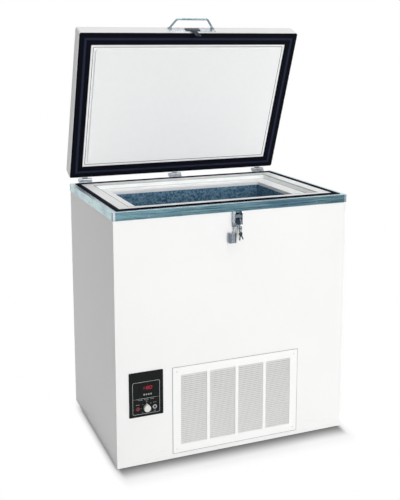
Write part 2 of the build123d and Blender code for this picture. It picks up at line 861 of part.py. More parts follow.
# Control bezel, a black plate over the front panel's cut-out
bezel_front = front_plane.offset(bezel_sheet)
lamp_stem_radius = lamp_radius - 1.5
switch_stem_radius = switch_radius - 1.2
with BuildPart() as control_bezel:
    with BuildSketch(front_plane):
        with Locations((bezel_x, bezel_z)):
            RectangleRounded(bezel_width, bezel_height, 3.0)
        with Locations((display_x, display_z)):
            Rectangle(display_width + 2 * seat_gap, display_height + 2 * seat_gap, mode=Mode.SUBTRACT)
        with Locations((lamp_x, controls_z)):
            Circle(lamp_stem_radius + seat_gap, mode=Mode.SUBTRACT)
        with Locations((knob_x, controls_z)):
            Circle(knob_shaft_radius + running_gap, mode=Mode.SUBTRACT)
        with Locations((switch_x, controls_z)):
            Circle(switch_stem_radius + seat_gap, mode=Mode.SUBTRACT)
    extrude(amount=bezel_sheet)
    chamfer(control_bezel.faces().sort_by(Axis.Y)[0].outer_wire().edges(), 0.8)
control_bezel.part.label = "control_bezel"
export_step(control_bezel.part, "parts/control_bezel.step")

# Display module through the bezel, with a window recess and a row of key wells
display_front = bezel_front.offset(display_proud)
window_z = display_z + display_height / 2 - 6.0 - window_height / 2
key_z = display_z - key_drop
key_stroke = 1.0
key_well = key_length - key_proud + key_stroke + key_play
with BuildPart() as temperature_display:
    with BuildSketch(display_front):
        with Locations((display_x, display_z)):
            RectangleRounded(display_width, display_height, 2.0)
    extrude(amount=-display_depth)
    with BuildSketch(display_front):
        with Locations((display_x, window_z)):
            Rectangle(window_width, window_height)
    extrude(amount=-window_depth, mode=Mode.SUBTRACT)
    with BuildSketch(display_front):
        with Locations((display_x, key_z)):
            with GridLocations(key_pitch, 1, key_count, 1):
                Rectangle(key_width + 2 * key_play, key_height + 2 * key_play)
    extrude(amount=-key_well, mode=Mode.SUBTRACT)
temperature_display.part.label = "temperature_display"
export_step(temperature_display.part, "parts/temperature_display.step")


def display_key(index):
    """One push key of the display, counted from the left."""
    x = display_x + (index - (key_count - 1) / 2) * key_pitch
    with BuildPart() as key:
        with BuildSketch(display_front.offset(key_proud)):
            with Locations((x, key_z)):
                RectangleRounded(key_width, key_height, 1.0)
        extrude(amount=-key_length)
        chamfer(key.faces().sort_by(Axis.Y)[0].edges(), 0.5)
    return key


for index in range(key_count):
    push_key = display_key(index)
    push_key.part.label = f"display_key_{index + 1}"
    export_step(push_key.part, f"parts/display_key_{index + 1}.step")

# Alarm lamp: a stem through the bezel, a flange and a domed lens
lens_radius = lamp_radius - 2.0
lens_height = 4.0
stem_length = 14.0
lamp_base = -half_depth - bezel_sheet
with BuildPart() as alarm_lamp:
    with BuildSketch(Plane((lamp_x, lamp_base, controls_z), x_dir=(1, 0, 0), z_dir=(0, 0, 1))):
        with BuildLine():
            Polyline(
                (0, stem_length),
                (lamp_stem_radius, stem_length),
                (lamp_stem_radius, 0),
                (lamp_radius, 0),
                (lamp_radius, -lamp_flange),
                (lens_radius, -lamp_flange),
            )
            EllipticalCenterArc((0, -lamp_flange), lens_radius, lens_height, 270, arc_size=90)
            Line((0, -lamp_flange - lens_height), (0, stem_length))
        make_face()
    revolve(axis=Axis((lamp_x, 0, controls_z), (0, 1, 0)))
alarm_lamp.part.label = "alarm_lamp"
export_step(alarm_lamp.part, "parts/alarm_lamp.step")

# Pointer knob: a round skirt drawn out to a point at the top, on its own shaft
knob_back = bezel_front.offset(seat_gap)
knob_shaft_length = 14.0
with BuildPart() as set_knob:
    with BuildSketch(knob_back):
        with Locations((knob_x, controls_z)):
            Circle(knob_radius)
        with BuildLine():
            Polyline(
                (knob_x - knob_radius * 0.8, controls_z + knob_radius * 0.6),
                (knob_x, controls_z + knob_pointer),
                (knob_x + knob_radius * 0.8, controls_z + knob_radius * 0.6),
                close=True,
            )
        make_face()
    extrude(amount=knob_height)
    chamfer(set_knob.faces().sort_by(Axis.Y)[0].edges(), 2.0)
    with BuildSketch(knob_back):
        with Locations((knob_x, controls_z)):
            Circle(knob_shaft_radius)
    extrude(amount=-knob_shaft_length)
set_knob.part.label = "set_knob"
export_step(set_knob.part, "parts/set_knob.step")

# Key switch: a flanged barrel in the bezel and a plug with a keyway
switch_flange = 2.0
switch_length = 18.0
with BuildPart() as key_switch_barrel:
    with BuildSketch(bezel_front):
        with Locations((switch_x, controls_z)):
            Circle(switch_radius)
    extrude(amount=switch_flange)
    with BuildSketch(bezel_front):
        with Locations((switch_x, controls_z)):
            Circle(switch_stem_radius)
    extrude(amount=-switch_length)
    with BuildSketch(bezel_front.offset(switch_flange)):
        with Locations((switch_x, controls_z)):
            Circle(switch_plug_radius + running_gap)
    extrude(amount=-switch_length, mode=Mode.SUBTRACT)
key_switch_barrel.part.label = "key_switch_barrel"
export_step(key_switch_barrel.part, "parts/key_switch_barrel.step")

keyway_width = 1.8
keyway_height = 7.0
keyway_depth = 9.0
with BuildPart() as key_switch_plug:
    with BuildSketch(bezel_front.offset(switch_flange)):
        with Locations((switch_x, controls_z)):
            Circle(switch_plug_radius)
    extrude(amount=seat_gap - switch_length)
    with BuildSketch(bezel_front.offset(switch_flange)):
        with Locations((switch_x, controls_z)):
            Rectangle(keyway_width, keyway_height)
    extrude(amount=-keyway_depth, mode=Mode.SUBTRACT)
key_switch_plug.part.label = "key_switch_plug"
export_step(key_switch_plug.part, "parts/key_switch_plug.step")

# Latch base: a plate on the front panel, two cheeks for the lever and an eye with an ear for the key ring
latch_bottom = cabinet_height - latch_drop
latch_top = cabinet_height - rim_band - seat_gap
latch_face = -half_depth - latch_sheet
cheek_sheet = (latch_width - latch_channel) / 2 - 2.0
cheek_front = -half_depth - latch_cheek_reach
cheek_back = -band_face_y - seat_gap
lever_pin_z = cabinet_height - lever_pin_drop
cheek_bottom = lever_pin_z - 12.0
cheek_top = cabinet_height - latch_cheek_drop
cheek_round = 9.0
pin_y = -half_depth - lever_pin_y
eye_z = cabinet_height - eye_drop
eye_bottom = eye_z - 9.0
eye_top = eye_z + 9.0
eye_front = -half_depth - eye_reach
ear_top = eye_z + 3.0
ear_end = ear_hole_x + 5.5
ear_hole_z = eye_z - 2.5
with BuildPart() as latch_base:
    with BuildSketch(front_plane):
        with Locations((0, (latch_bottom + latch_top) / 2)):
            RectangleRounded(latch_width, latch_top - latch_bottom, 2.0)
    extrude(amount=latch_sheet)
    for side in (-1, 1):
        with BuildSketch(Plane.YZ.offset(side * (latch_channel / 2 + cheek_sheet / 2))):
            with BuildLine():
                Polyline(
                    (latch_face, cheek_bottom),
                    (cheek_front, cheek_bottom),
                    (cheek_front, cheek_top),
                    (cheek_back, cheek_top),
                    (cheek_back, latch_top),
                    (latch_face, latch_top),
                    close=True,
                )
            make_face()
        extrude(amount=cheek_sheet / 2, both=True)
    fillet(
        latch_base.edges().filter_by(Axis.X).group_by(Axis.Y)[0],
        cheek_round,
    )
    with BuildSketch(Plane.YZ):
        with BuildLine():
            Polyline(
                (latch_face, eye_bottom),
                (eye_front, eye_bottom),
                (eye_front, eye_top),
                (latch_face, eye_top),
                close=True,
            )
        make_face()
        with Locations((-half_depth - eye_y, eye_z)):
            Circle(eye_radius, mode=Mode.SUBTRACT)
    extrude(amount=eye_sheet / 2, both=True)
    with BuildSketch(Plane.XZ.offset(-eye_front)):
        with Locations((ear_end / 2, (eye_bottom + ear_top) / 2)):
            Rectangle(ear_end, ear_top - eye_bottom)
        with Locations((ear_hole_x, ear_hole_z)):
            Circle(ear_hole_radius, mode=Mode.SUBTRACT)
    extrude(amount=-ear_sheet)
    with BuildSketch(Plane.YZ.offset(-latch_width)):
        with Locations((pin_y, lever_pin_z)):
            Circle(lever_pin_radius + running_gap)
    extrude(amount=2 * latch_width, mode=Mode.SUBTRACT)
latch_base.part.label = "latch_base"
export_step(latch_base.part, "parts/latch_base.step")

# Latch pin through both cheeks, with a head at each end
pin_head = 1.5
pin_reach = latch_channel / 2 + cheek_sheet
with BuildPart() as latch_pin:
    with BuildSketch(Plane.YZ):
        with Locations((pin_y, lever_pin_z)):
            Circle(lever_pin_radius)
    extrude(amount=pin_reach, both=True)
    for side in (-1, 1):
        with BuildSketch(Plane.YZ.offset(side * (pin_reach + pin_head / 2))):
            with Locations((pin_y, lever_pin_z)):
                Circle(lever_pin_radius + 1.5)
        extrude(amount=pin_head / 2, both=True)
latch_pin.part.label = "latch_pin"
export_step(latch_pin.part, "parts/latch_pin.step")

# Latch lever: a pivoted hook whose nose points at the lid's tongue, with a thumb tail below
lever_nose_y = -half_depth - 12.0
lever_nose_z = tongue_slot_z + 1.0
lever_back = pin_y + 6.0
lever_front = pin_y - 5.0
tail_front = cheek_front - 7.0
tail_bottom = eye_top + 2.5
lever_half_width = latch_channel / 2 - lever_play
nose_half_width = tongue_slot_width / 2 - 2.0
with BuildPart() as latch_lever:
    with BuildSketch(Plane.YZ):
        with BuildLine():
            Polyline(
                (lever_back, lever_pin_z - 6),
                (lever_back, lever_nose_z - 8),
                (lever_front, lever_nose_z - 8),
                (lever_front, lever_pin_z + 4),
                (tail_front, tail_bottom + 7),
                (tail_front - 3, tail_bottom),
                (tail_front + 2, tail_bottom),
                close=True,
            )
        make_face()
    extrude(amount=lever_half_width, both=True)
    with BuildSketch(Plane.YZ):
        with BuildLine():
            Polyline(
                (lever_front, lever_nose_z - 9),
                (lever_back, lever_nose_z - 9),
                (lever_nose_y, lever_nose_z - 2.5),
                (lever_nose_y, lever_nose_z + 1.5),
                (lever_front, lever_nose_z + 2.5),
                close=True,
            )
        make_face()
    extrude(amount=nose_half_width, both=True)
    with BuildSketch(Plane.YZ):
        with Locations((pin_y, lever_pin_z)):
            Circle(lever_pin_radius + running_gap)
    extrude(amount=latch_width, both=True, mode=Mode.SUBTRACT)
latch_lever.part.label = "latch_lever"
export_step(latch_lever.part, "parts/latch_lever.step")

# Latch screws in the four corners of the plate
latch_screw_radius = 2.2
with BuildPart() as latch_screws:
    with BuildSketch(front_plane.offset(latch_sheet)):
        for z in (latch_bottom + 6.0, latch_bottom + 16.0):
            with Locations((0, z)):
                with GridLocations(latch_width - 9.0, 1, 2, 1):
                    Circle(latch_screw_radius)
    extrude(amount=screw_head_height)
latch_screws.part.label = "latch_screws"
export_step(latch_screws.part, "parts/latch_screws.step")

# Padlock shackle hung in the eye, drawn out of its body on the heel side
shackle_y = -half_depth - eye_y
shackle_top = eye_z - (eye_radius - shackle_rod - seat_gap)
bow_z = shackle_top - shackle_span / 2
heel_x = -shackle_span / 2
body_top = bow_z - shackle_leg
shackle_plane = Plane((0, shackle_y, 0), x_dir=(1, 0, 0), z_dir=(0, -1, 0))
with BuildPart() as padlock_shackle:
    with BuildLine(shackle_plane):
        Line((heel_x, body_top - shackle_depth), (heel_x, bow_z))
        ThreePointArc((heel_x, bow_z), (0, shackle_top), (-heel_x, bow_z))
        Line((-heel_x, bow_z), (-heel_x, body_top + 2.0))
    with BuildSketch(Plane((heel_x, shackle_y, body_top - shackle_depth), z_dir=(0, 0, 1))):
        Circle(shackle_rod)
    sweep()
padlock_shackle.part.label = "padlock_shackle"
export_step(padlock_shackle.part, "parts/padlock_shackle.step")

# Padlock body swung to the left of the eye, with rounded sides, two shackle wells and a keyhole
heel_inset = 10.0
padlock_x = heel_x - heel_inset
padlock_round = padlock_thickness / 2 - 0.5
padlock_edge = 1.5
with BuildPart() as padlock_body:
    with BuildSketch(Plane((padlock_x, shackle_y, body_top - padlock_height), z_dir=(0, 0, 1))):
        RectangleRounded(padlock_width, padlock_thickness, padlock_round)
    extrude(amount=padlock_height)
    padlock_rims = padlock_body.edges().group_by(Axis.Z)
    chamfer(padlock_rims[0] + padlock_rims[-1], padlock_edge)
    with BuildSketch(Plane((padlock_x, shackle_y, body_top), z_dir=(0, 0, 1))):
        with Locations((heel_inset, 0), (heel_inset - shackle_span, 0)):
            Circle(shackle_rod + running_gap)
    extrude(amount=-shackle_depth - seat_gap, mode=Mode.SUBTRACT)
    with BuildSketch(Plane((padlock_x, shackle_y, body_top - padlock_height), z_dir=(0, 0, 1))):
        Rectangle(1.6, 7.0)
    extrude(amount=10.0, mode=Mode.SUBTRACT)
padlock_body.part.label = "padlock_body"
export_step(padlock_body.part, "parts/padlock_body.step")

# Key ring hung in the ear's hole, standing square to the front
ring_y = eye_front + ear_sheet / 2
ring_top = ear_hole_z - (ear_hole_radius - key_ring_wire - seat_gap)
ring_centre = Vector(ear_hole_x, ring_y, ring_top - key_ring_radius)
with BuildPart() as key_ring:
    with BuildSketch(Plane(ring_centre, x_dir=(0, 1, 0), z_dir=(0, 0, 1))):
        with Locations((key_ring_radius, 0)):
            Circle(key_ring_wire)
    revolve(axis=Axis(ring_centre, (1, 0, 0)))
key_ring.part.label = "key_ring"
export_step(key_ring.part, "parts/key_ring.step")

# Two padlock keys hung side by side on the ring, a little fanned out
ring_bottom = ring_top - 2 * key_ring_radius
key_hole_radius = 2.1
key_hole_drop = key_hole_radius - key_ring_wire - seat_gap
bow_drop = key_hole_drop + padlock_key_bow - 3.8
blade_half = 2.6


def padlock_key(side, fan):
    """A flat key: a round bow with a ring hole and a notched blade; fan tips its blade to the right."""
    tilt = radians(fan)
    blade_top = 1.0 - bow_drop - padlock_key_bow
    blade_tip = blade_top - padlock_key_blade
    origin = (ear_hole_x, ring_y + side * padlock_key_spacing / 2, ring_bottom)
    with BuildPart() as key:
        with BuildSketch(Plane(origin, x_dir=(cos(tilt), 0, sin(tilt)), z_dir=(0, -1, 0))):
            with Locations((0, -bow_drop)):
                Circle(padlock_key_bow)
            with BuildLine():
                Polyline(
                    (-blade_half, blade_top),
                    (-blade_half, blade_tip + 2),
                    (0, blade_tip),
                    (blade_half, blade_tip + 2),
                    (blade_half, blade_top),
                    close=True,
                )
            make_face()
            for notch in range(3):
                with Locations((blade_half, blade_tip + 4.5 + 4.5 * notch)):
                    Rectangle(2.2, 1.6, mode=Mode.SUBTRACT)
            with Locations((0, -key_hole_drop)):
                Circle(key_hole_radius, mode=Mode.SUBTRACT)
        extrude(amount=padlock_key_sheet / 2, both=True)
    return key


padlock_key_front = padlock_key(-1, padlock_key_fan[0])
padlock_key_front.part.label = "padlock_key_front"
export_step(padlock_key_front.part, "parts/padlock_key_front.step")

padlock_key_rear = padlock_key(1, padlock_key_fan[1])
padlock_key_rear.part.label = "padlock_key_rear"
export_step(padlock_key_rear.part, "parts/padlock_key_rear.step")

# The lid's planes, turned open about the hinge axis; hinge_side_plane looks along the pins
hinge_y = band_face_y + hinge_back
hinge_z = cabinet_height + hinge_rise
open_angle = radians(lid_open_angle)
lid_up = Vector(0, sin(open_angle), cos(open_angle))
lid_plane = Plane((0, hinge_y, hinge_z), x_dir=(1, 0, 0), z_dir=lid_up)
lid_width = cabinet_width + 2 * rim_sheet
lid_depth = cabinet_depth + 2 * rim_sheet
lid_bottom = lid_gap - hinge_rise
lid_top = lid_bottom + lid_thickness
lid_front = -hinge_back - lid_depth
lid_middle = Plane(
    lid_plane.from_local_coords(Vector(0, (lid_front - hinge_back) / 2, 0)), x_dir=(1, 0, 0), z_dir=lid_up
)
lid_front_plane = Plane(
    lid_plane.from_local_coords(Vector(0, lid_front, 0)), x_dir=(1, 0, 0), z_dir=lid_plane.y_dir * -1
)
lid_side_plane = Plane(lid_plane.origin, x_dir=lid_plane.y_dir, z_dir=(1, 0, 0))
hinge_side_plane = Plane((0, hinge_y, hinge_z), x_dir=(0, 1, 0), z_dir=(1, 0, 0))
lid_axis = Axis(lid_middle.origin, lid_up)
lid_front_axis = Axis(lid_front_plane.origin, lid_front_plane.z_dir)


def lid_ring(level, outer_inset, inner_inset, corner):
    """A frame in the lid's plan, between two insets, at a height in the lid's own plane."""
    with BuildSketch(lid_middle.offset(level)) as sketch:
        RectangleRounded(lid_width - 2 * outer_inset, lid_depth - 2 * outer_inset, corner)
        Rectangle(lid_width - 2 * inner_inset, lid_depth - 2 * inner_inset, mode=Mode.SUBTRACT)
    return sketch.sketch


# Lid outer pan: a deep tray turned upside down, with rounded corners and top edges
with BuildPart() as lid_outer_pan:
    with BuildSketch(lid_middle.offset(lid_bottom)):
        RectangleRounded(lid_width, lid_depth, lid_corner)
    extrude(amount=lid_thickness)
    fillet(lid_outer_pan.faces().sort_by(lid_axis)[-1].edges(), lid_edge_round)
    with BuildSketch(lid_middle.offset(lid_bottom)):
        RectangleRounded(lid_width - 2 * lid_sheet, lid_depth - 2 * lid_sheet, lid_corner - lid_sheet)
    extrude(amount=lid_thickness - lid_edge_round, mode=Mode.SUBTRACT)
    with BuildSketch(lid_middle.offset(lid_bottom)):
        RectangleRounded(
            lid_width - 2 * lid_edge_round, lid_depth - 2 * lid_edge_round, lid_corner - lid_edge_round
        )
    extrude(amount=lid_thickness - lid_sheet, mode=Mode.SUBTRACT)
lid_outer_pan.part.label = "lid_outer_pan"
export_step(lid_outer_pan.part, "parts/lid_outer_pan.step")

# Lid inner panel: a flat sheet let into the pan, with a raised field pressed towards the tank
panel_face = lid_bottom + inner_panel_face
panel_inset = lid_sheet + seat_gap
field_width = lid_width - 2 * inner_field_inset
field_depth = lid_depth - 2 * inner_field_inset
field_radius = 14.0
field_taper = 30.0
field_wall = 4 * inner_panel_sheet
with BuildPart() as lid_inner_panel:
    with BuildSketch(lid_middle.offset(panel_face)):
        RectangleRounded(lid_width - 2 * panel_inset, lid_depth - 2 * panel_inset, lid_corner - panel_inset)
    extrude(amount=inner_panel_sheet)
    with BuildSketch(lid_middle.offset(panel_face)):
        RectangleRounded(field_width, field_depth, field_radius)
    extrude(amount=-inner_field_drop, taper=field_taper)
    with BuildSketch(lid_middle.offset(panel_face + inner_panel_sheet)):
        RectangleRounded(field_width - field_wall, field_depth - field_wall, field_radius / 2)
    extrude(amount=-inner_field_drop, mode=Mode.SUBTRACT)
lid_inner_panel.part.label = "lid_inner_panel"
export_step(lid_inner_panel.part, "parts/lid_inner_panel.step")

# Lid insulation filling the pan above the inner panel
foam_level = panel_face + inner_panel_sheet + seat_gap
foam_inset = lid_sheet + seat_gap
with BuildPart() as lid_insulation:
    with BuildSketch(lid_middle.offset(foam_level)):
        RectangleRounded(lid_width - 2 * foam_inset, lid_depth - 2 * foam_inset, lid_corner - foam_inset)
    extrude(amount=lid_top - lid_edge_round - seat_gap - foam_level)
    with BuildSketch(lid_middle.offset(foam_level)):
        RectangleRounded(
            lid_width - 2 * (lid_edge_round + seat_gap),
            lid_depth - 2 * (lid_edge_round + seat_gap),
            lid_corner - lid_edge_round - seat_gap,
        )
    extrude(amount=lid_top - lid_sheet - seat_gap - foam_level)
lid_insulation.part.label = "lid_insulation"
export_step(lid_insulation.part, "parts/lid_insulation.step")

# Lid gasket: a wide black band with a bulb that meets the rim's strip
bulb_inset = rim_sheet + strip_inset + (strip_width - gasket_bulb_width) / 2
with BuildPart() as lid_gasket:
    extrude(
        lid_ring(panel_face, gasket_inset, gasket_inset + gasket_width, lid_corner - gasket_inset),
        amount=-gasket_thickness,
    )
    extrude(
        lid_ring(
            panel_face - gasket_thickness, bulb_inset, bulb_inset + gasket_bulb_width, gasket_bulb_width / 2
        ),
        amount=-gasket_bulb_height,
    )
    chamfer(lid_gasket.faces().sort_by(lid_axis)[0].edges(), gasket_bulb_height * 0.6)
lid_gasket.part.label = "lid_gasket"
export_step(lid_gasket.part, "parts/lid_gasket.step")

# Handle plate on the lid's front edge
plate_z = lid_bottom + handle_plate_rise + handle_plate_height / 2
with BuildPart() as handle_plate:
    with BuildSketch(lid_front_plane):
        with Locations((0, plate_z)):
            RectangleRounded(handle_plate_width, handle_plate_height, 4.0)
    extrude(amount=handle_plate_sheet)
    chamfer(handle_plate.faces().sort_by(lid_front_axis)[-1].edges(), handle_plate_sheet / 4)
handle_plate.part.label = "handle_plate"
export_step(handle_plate.part, "parts/handle_plate.step")

# Lid handle: a bent round bar on two feet
handle_z = plate_z + handle_plate_height / 4
handle_plane = Plane(
    lid_plane.from_local_coords(Vector(0, lid_front - handle_plate_sheet, handle_z)),
    x_dir=(1, 0, 0),
    z_dir=lid_up * -1,
)
handle_bend = 14.0
foot_x = handle_foot_span / 2
grip_x = handle_grip_span / 2
with BuildPart() as lid_handle:
    with BuildLine(handle_plane) as bar:
        FilletPolyline(
            (-foot_x, 0),
            (-foot_x, handle_foot_height),
            (-grip_x, handle_reach),
            (grip_x, handle_reach),
            (foot_x, handle_foot_height),
            (foot_x, 0),
            radius=(2.0, handle_bend, handle_bend, 2.0),
        )
    with BuildSketch(Plane(bar.line @ 0, z_dir=bar.line % 0)):
        Circle(handle_rod)
    sweep(transition=Transition.ROUND)
    with BuildSketch(lid_front_plane.offset(handle_plate_sheet)):
        with Locations((-foot_x, handle_z), (foot_x, handle_z)):
            Circle(handle_foot_radius)
    extrude(amount=handle_foot_height)
lid_handle.part.label = "lid_handle"
export_step(lid_handle.part, "parts/lid_handle.step")

# Lid strike: a dark plate on the handle plate with a slotted tongue that hangs below the shut lid
strike_bottom = lid_bottom + handle_plate_rise
strike_middle = strike_bottom + strike_height / 2
tongue_tip = tongue_tip_z - hinge_z
tongue_slot = tongue_slot_z - hinge_z
with BuildPart() as lid_strike:
    with BuildSketch(lid_front_plane.offset(handle_plate_sheet)):
        with Locations((0, strike_middle)):
            RectangleRounded(strike_width, strike_height, 3.0)
        with Locations((0, (strike_middle + tongue_tip) / 2)):
            RectangleRounded(tongue_width, strike_middle - tongue_tip, 3.0)
        with Locations((0, tongue_slot)):
            Rectangle(tongue_slot_width, tongue_slot_height, mode=Mode.SUBTRACT)
    extrude(amount=strike_sheet)
lid_strike.part.label = "lid_strike"
export_step(lid_strike.part, "parts/lid_strike.step")

# Hinges: leaves on the lid and on the rim's rear band, with interleaved knuckles round one pin each
hinge_places = [(index - (hinge_count - 1) / 2) * hinge_spacing for index in range(hinge_count)]
knuckle_gap = 0.3
outer_knuckle = (hinge_leaf_width - hinge_lid_knuckle) / 2 - knuckle_gap
arm_start = 4.0


def hinge_leaf_profile(plane, side, with_knuckle):
    """A leaf's outline seen along the pin: side is 1 for the leaf above the pin and -1 for the one below."""
    with BuildSketch(plane) as sketch:
        with Locations((hinge_leaf_sheet / 2 - hinge_back, side * (arm_start + hinge_leaf_height / 2))):
            Rectangle(hinge_leaf_sheet, hinge_leaf_height)
        if with_knuckle:
            with Locations((-hinge_back / 2, side * (arm_start + hinge_arm / 2))):
                Rectangle(hinge_back, hinge_arm)
            Circle(hinge_knuckle_radius)
            Circle(hinge_pin_radius + running_gap, mode=Mode.SUBTRACT)
    return sketch.sketch


with BuildPart() as lid_hinge_leaves:
    for place in hinge_places:
        extrude(
            hinge_leaf_profile(lid_side_plane.offset(place), 1, False), amount=hinge_leaf_width / 2, both=True
        )
        extrude(
            hinge_leaf_profile(lid_side_plane.offset(place), 1, True), amount=hinge_lid_knuckle / 2, both=True
        )
lid_hinge_leaves.part.label = "lid_hinge_leaves"
export_step(lid_hinge_leaves.part, "parts/lid_hinge_leaves.step")

with BuildPart() as cabinet_hinge_leaves:
    for place in hinge_places:
        extrude(
            hinge_leaf_profile(hinge_side_plane.offset(place), -1, False),
            amount=hinge_leaf_width / 2,
            both=True,
        )
        for side in (-1, 1):
            middle = place + side * (hinge_leaf_width - outer_knuckle) / 2
            extrude(
                hinge_leaf_profile(hinge_side_plane.offset(middle), -1, True),
                amount=outer_knuckle / 2,
                both=True,
            )
cabinet_hinge_leaves.part.label = "cabinet_hinge_leaves"
export_step(cabinet_hinge_leaves.part, "parts/cabinet_hinge_leaves.step")

with BuildPart() as hinge_pins:
    for place in hinge_places:
        with BuildSketch(hinge_side_plane.offset(place)):
            Circle(hinge_pin_radius)
        extrude(amount=hinge_leaf_width / 2, both=True)
        for side in (-1, 1):
            with BuildSketch(hinge_side_plane.offset(place + side * (hinge_leaf_width / 2 + 1.0))):
                Circle(hinge_pin_radius + 2.0)
            extrude(amount=1.0, both=True)
hinge_pins.part.label = "hinge_pins"
export_step(hinge_pins.part, "parts/hinge_pins.step")
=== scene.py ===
"""Chest ultra low temperature freezer with its lid raised.

Finishes, fine detail, light and camera over the solids. Metres, +Z up, front towards -Y,
the origin on the floor under the middle of the cabinet.
"""
import math

import bmesh
import bpy
from mathutils import Matrix, Vector


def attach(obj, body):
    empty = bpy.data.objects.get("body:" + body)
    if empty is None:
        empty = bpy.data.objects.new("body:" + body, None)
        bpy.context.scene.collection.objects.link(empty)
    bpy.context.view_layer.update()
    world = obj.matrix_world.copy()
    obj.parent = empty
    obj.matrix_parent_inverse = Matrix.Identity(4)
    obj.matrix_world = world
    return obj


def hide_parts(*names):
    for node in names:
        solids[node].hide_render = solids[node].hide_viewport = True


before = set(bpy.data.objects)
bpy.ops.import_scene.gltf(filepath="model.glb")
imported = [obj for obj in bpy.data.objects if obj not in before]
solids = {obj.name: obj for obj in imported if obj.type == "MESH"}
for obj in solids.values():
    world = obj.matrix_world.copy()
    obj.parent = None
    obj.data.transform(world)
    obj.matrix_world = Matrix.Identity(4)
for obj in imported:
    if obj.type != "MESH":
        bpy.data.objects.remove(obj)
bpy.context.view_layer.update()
scene = bpy.context.scene

# Places shared with the solids: hinge line, outer faces, and middles of grille, control panel and knob
lid_turn = math.radians(69)
hinge_y, hinge_z = 0.361, 1.0505
rim_side, rim_front, rim_top = 0.5095, 0.347, 1.04
panel_face, grille_face, bezel_face, display_face = 0.345, 0.347, 0.348, 0.3492
grille_x, grille_z = 0.009, 0.20575
panel_x, panel_z = -0.385, 0.285
knob_x, knob_z = -0.3832, 0.242
lid_frame = Matrix(
    (
        (1, 0, 0, 0),
        (0, math.cos(lid_turn), math.sin(lid_turn), hinge_y),
        (0, -math.sin(lid_turn), math.cos(lid_turn), hinge_z),
        (0, 0, 0, 1),
    )
)
lid_middle = lid_frame @ Matrix.Translation((0, -hinge_y, 0))
lid_up = lid_frame.to_3x3() @ Vector((0, 0, 1))
front_frame = Matrix(((1, 0, 0, 0), (0, 0, -1, 0), (0, 1, 0, 0), (0, 0, 0, 1)))


def paint(red, green, blue):
    """A screen colour from 0 to 255 as the shader's linear colour."""
    def linear(part):
        part /= 255
        return part / 12.92 if part <= 0.04045 else ((part + 0.055) / 1.055) ** 2.4
    return linear(red), linear(green), linear(blue), 1.0


class Value:
    """A number that varies over a surface; sums on it add Math nodes."""

    def __init__(self, finish, socket):
        self.finish = finish
        self.socket = socket

    def math(self, operation, first, second=0.0):
        return self.finish.node("ShaderNodeMath", {"operation": operation}, {0: first, 1: second})

    def __add__(self, other):
        return self.math("ADD", self, other)

    def __radd__(self, other):
        return self.math("ADD", other, self)

    def __sub__(self, other):
        return self.math("SUBTRACT", self, other)

    def __rsub__(self, other):
        return self.math("SUBTRACT", other, self)

    def __mul__(self, other):
        return self.math("MULTIPLY", self, other)

    def __rmul__(self, other):
        return self.math("MULTIPLY", other, self)


class Finish:
    """One surface finish: a material whose shader is built from node calls."""

    def __init__(self, name):
        self.material = bpy.data.materials.new(name)
        self.material.use_nodes = True
        self.tree = self.material.node_tree
        self.shader = next(n for n in self.tree.nodes if n.type == "BSDF_PRINCIPLED")

    def node(self, kind, settings=None, sockets=None, output=0):
        """Adds a node: its settings first, then the values or links of its sockets."""
        made = self.tree.nodes.new(kind)
        for name, setting in (settings or {}).items():
            setattr(made, name, setting)
        for key, value in (sockets or {}).items():
            self.join(made.inputs[key], value)
        return Value(self, made.outputs[output])

    def join(self, socket, value):
        if isinstance(value, Value):
            self.tree.links.new(value.socket, socket)
        else:
            socket.default_value = value

    def place(self, scale=(1.0, 1.0, 1.0)):
        """Object coordinates, stretched for a pattern."""
        where = self.node("ShaderNodeTexCoord", output="Object")
        return self.node("ShaderNodeMapping", sockets={"Vector": where, "Scale": scale})

    def axis(self, name):
        where = self.node("ShaderNodeTexCoord", output="Object")
        return self.node("ShaderNodeSeparateXYZ", sockets={0: where}, output=name)

    def noise(self, where, scale, detail=2.0, roughness=0.5):
        return self.node(
            "ShaderNodeTexNoise",
            sockets={"Vector": where, "Scale": scale, "Detail": detail, "Roughness": roughness},
        )

    def band(self, value, low, high, first=0.0, last=1.0):
        """Runs smoothly from first to last while the value goes from low to high."""
        return self.node(
            "ShaderNodeMapRange",
            {"interpolation_type": "SMOOTHSTEP"},
            {"Value": value, "From Min": low, "From Max": high, "To Min": first, "To Max": last},
        )

    def blend(self, factor, first, second):
        return self.node(
            "ShaderNodeMix", {"data_type": "RGBA"}, {0: factor, 6: first, 7: second}, output=2
        )

    def bump(self, height, strength, distance):
        return self.node(
            "ShaderNodeBump", sockets={"Height": height, "Strength": strength, "Distance": distance}
        )

    def set(self, **sockets):
        """Sets the shader's sockets; an underscore stands for a space."""
        for name, value in sockets.items():
            self.join(self.shader.inputs[name.replace("_", " ")], value)
        return self.material


def white_enamel():
    """Baked white enamel on sheet steel: a faint orange peel, a little tone, scuffs low down."""
    finish = Finish("white_enamel")
    where = finish.place()
    peel = finish.noise(where, 420, 2)
    cloud = finish.noise(where, 2.6, 3)
    scuff = finish.noise(finish.place((4, 4, 60)), 3.0, 4, 0.7)
    low = finish.band(finish.axis("Z"), 0.0, 0.11, 1.0, 0.0)
    marks = finish.band(scuff, 0.56, 0.72) * low * 0.5
    tone = finish.blend(cloud, paint(240, 240, 239), paint(246, 246, 245))
    return finish.set(
        Base_Color=finish.blend(marks, tone, paint(206, 205, 201)),
        Roughness=0.3 + cloud * 0.1 + marks * 0.3,
        Coat_Weight=0.25,
        Coat_Roughness=0.12,
        Normal=finish.bump(peel, 0.12, 0.0004),
    )


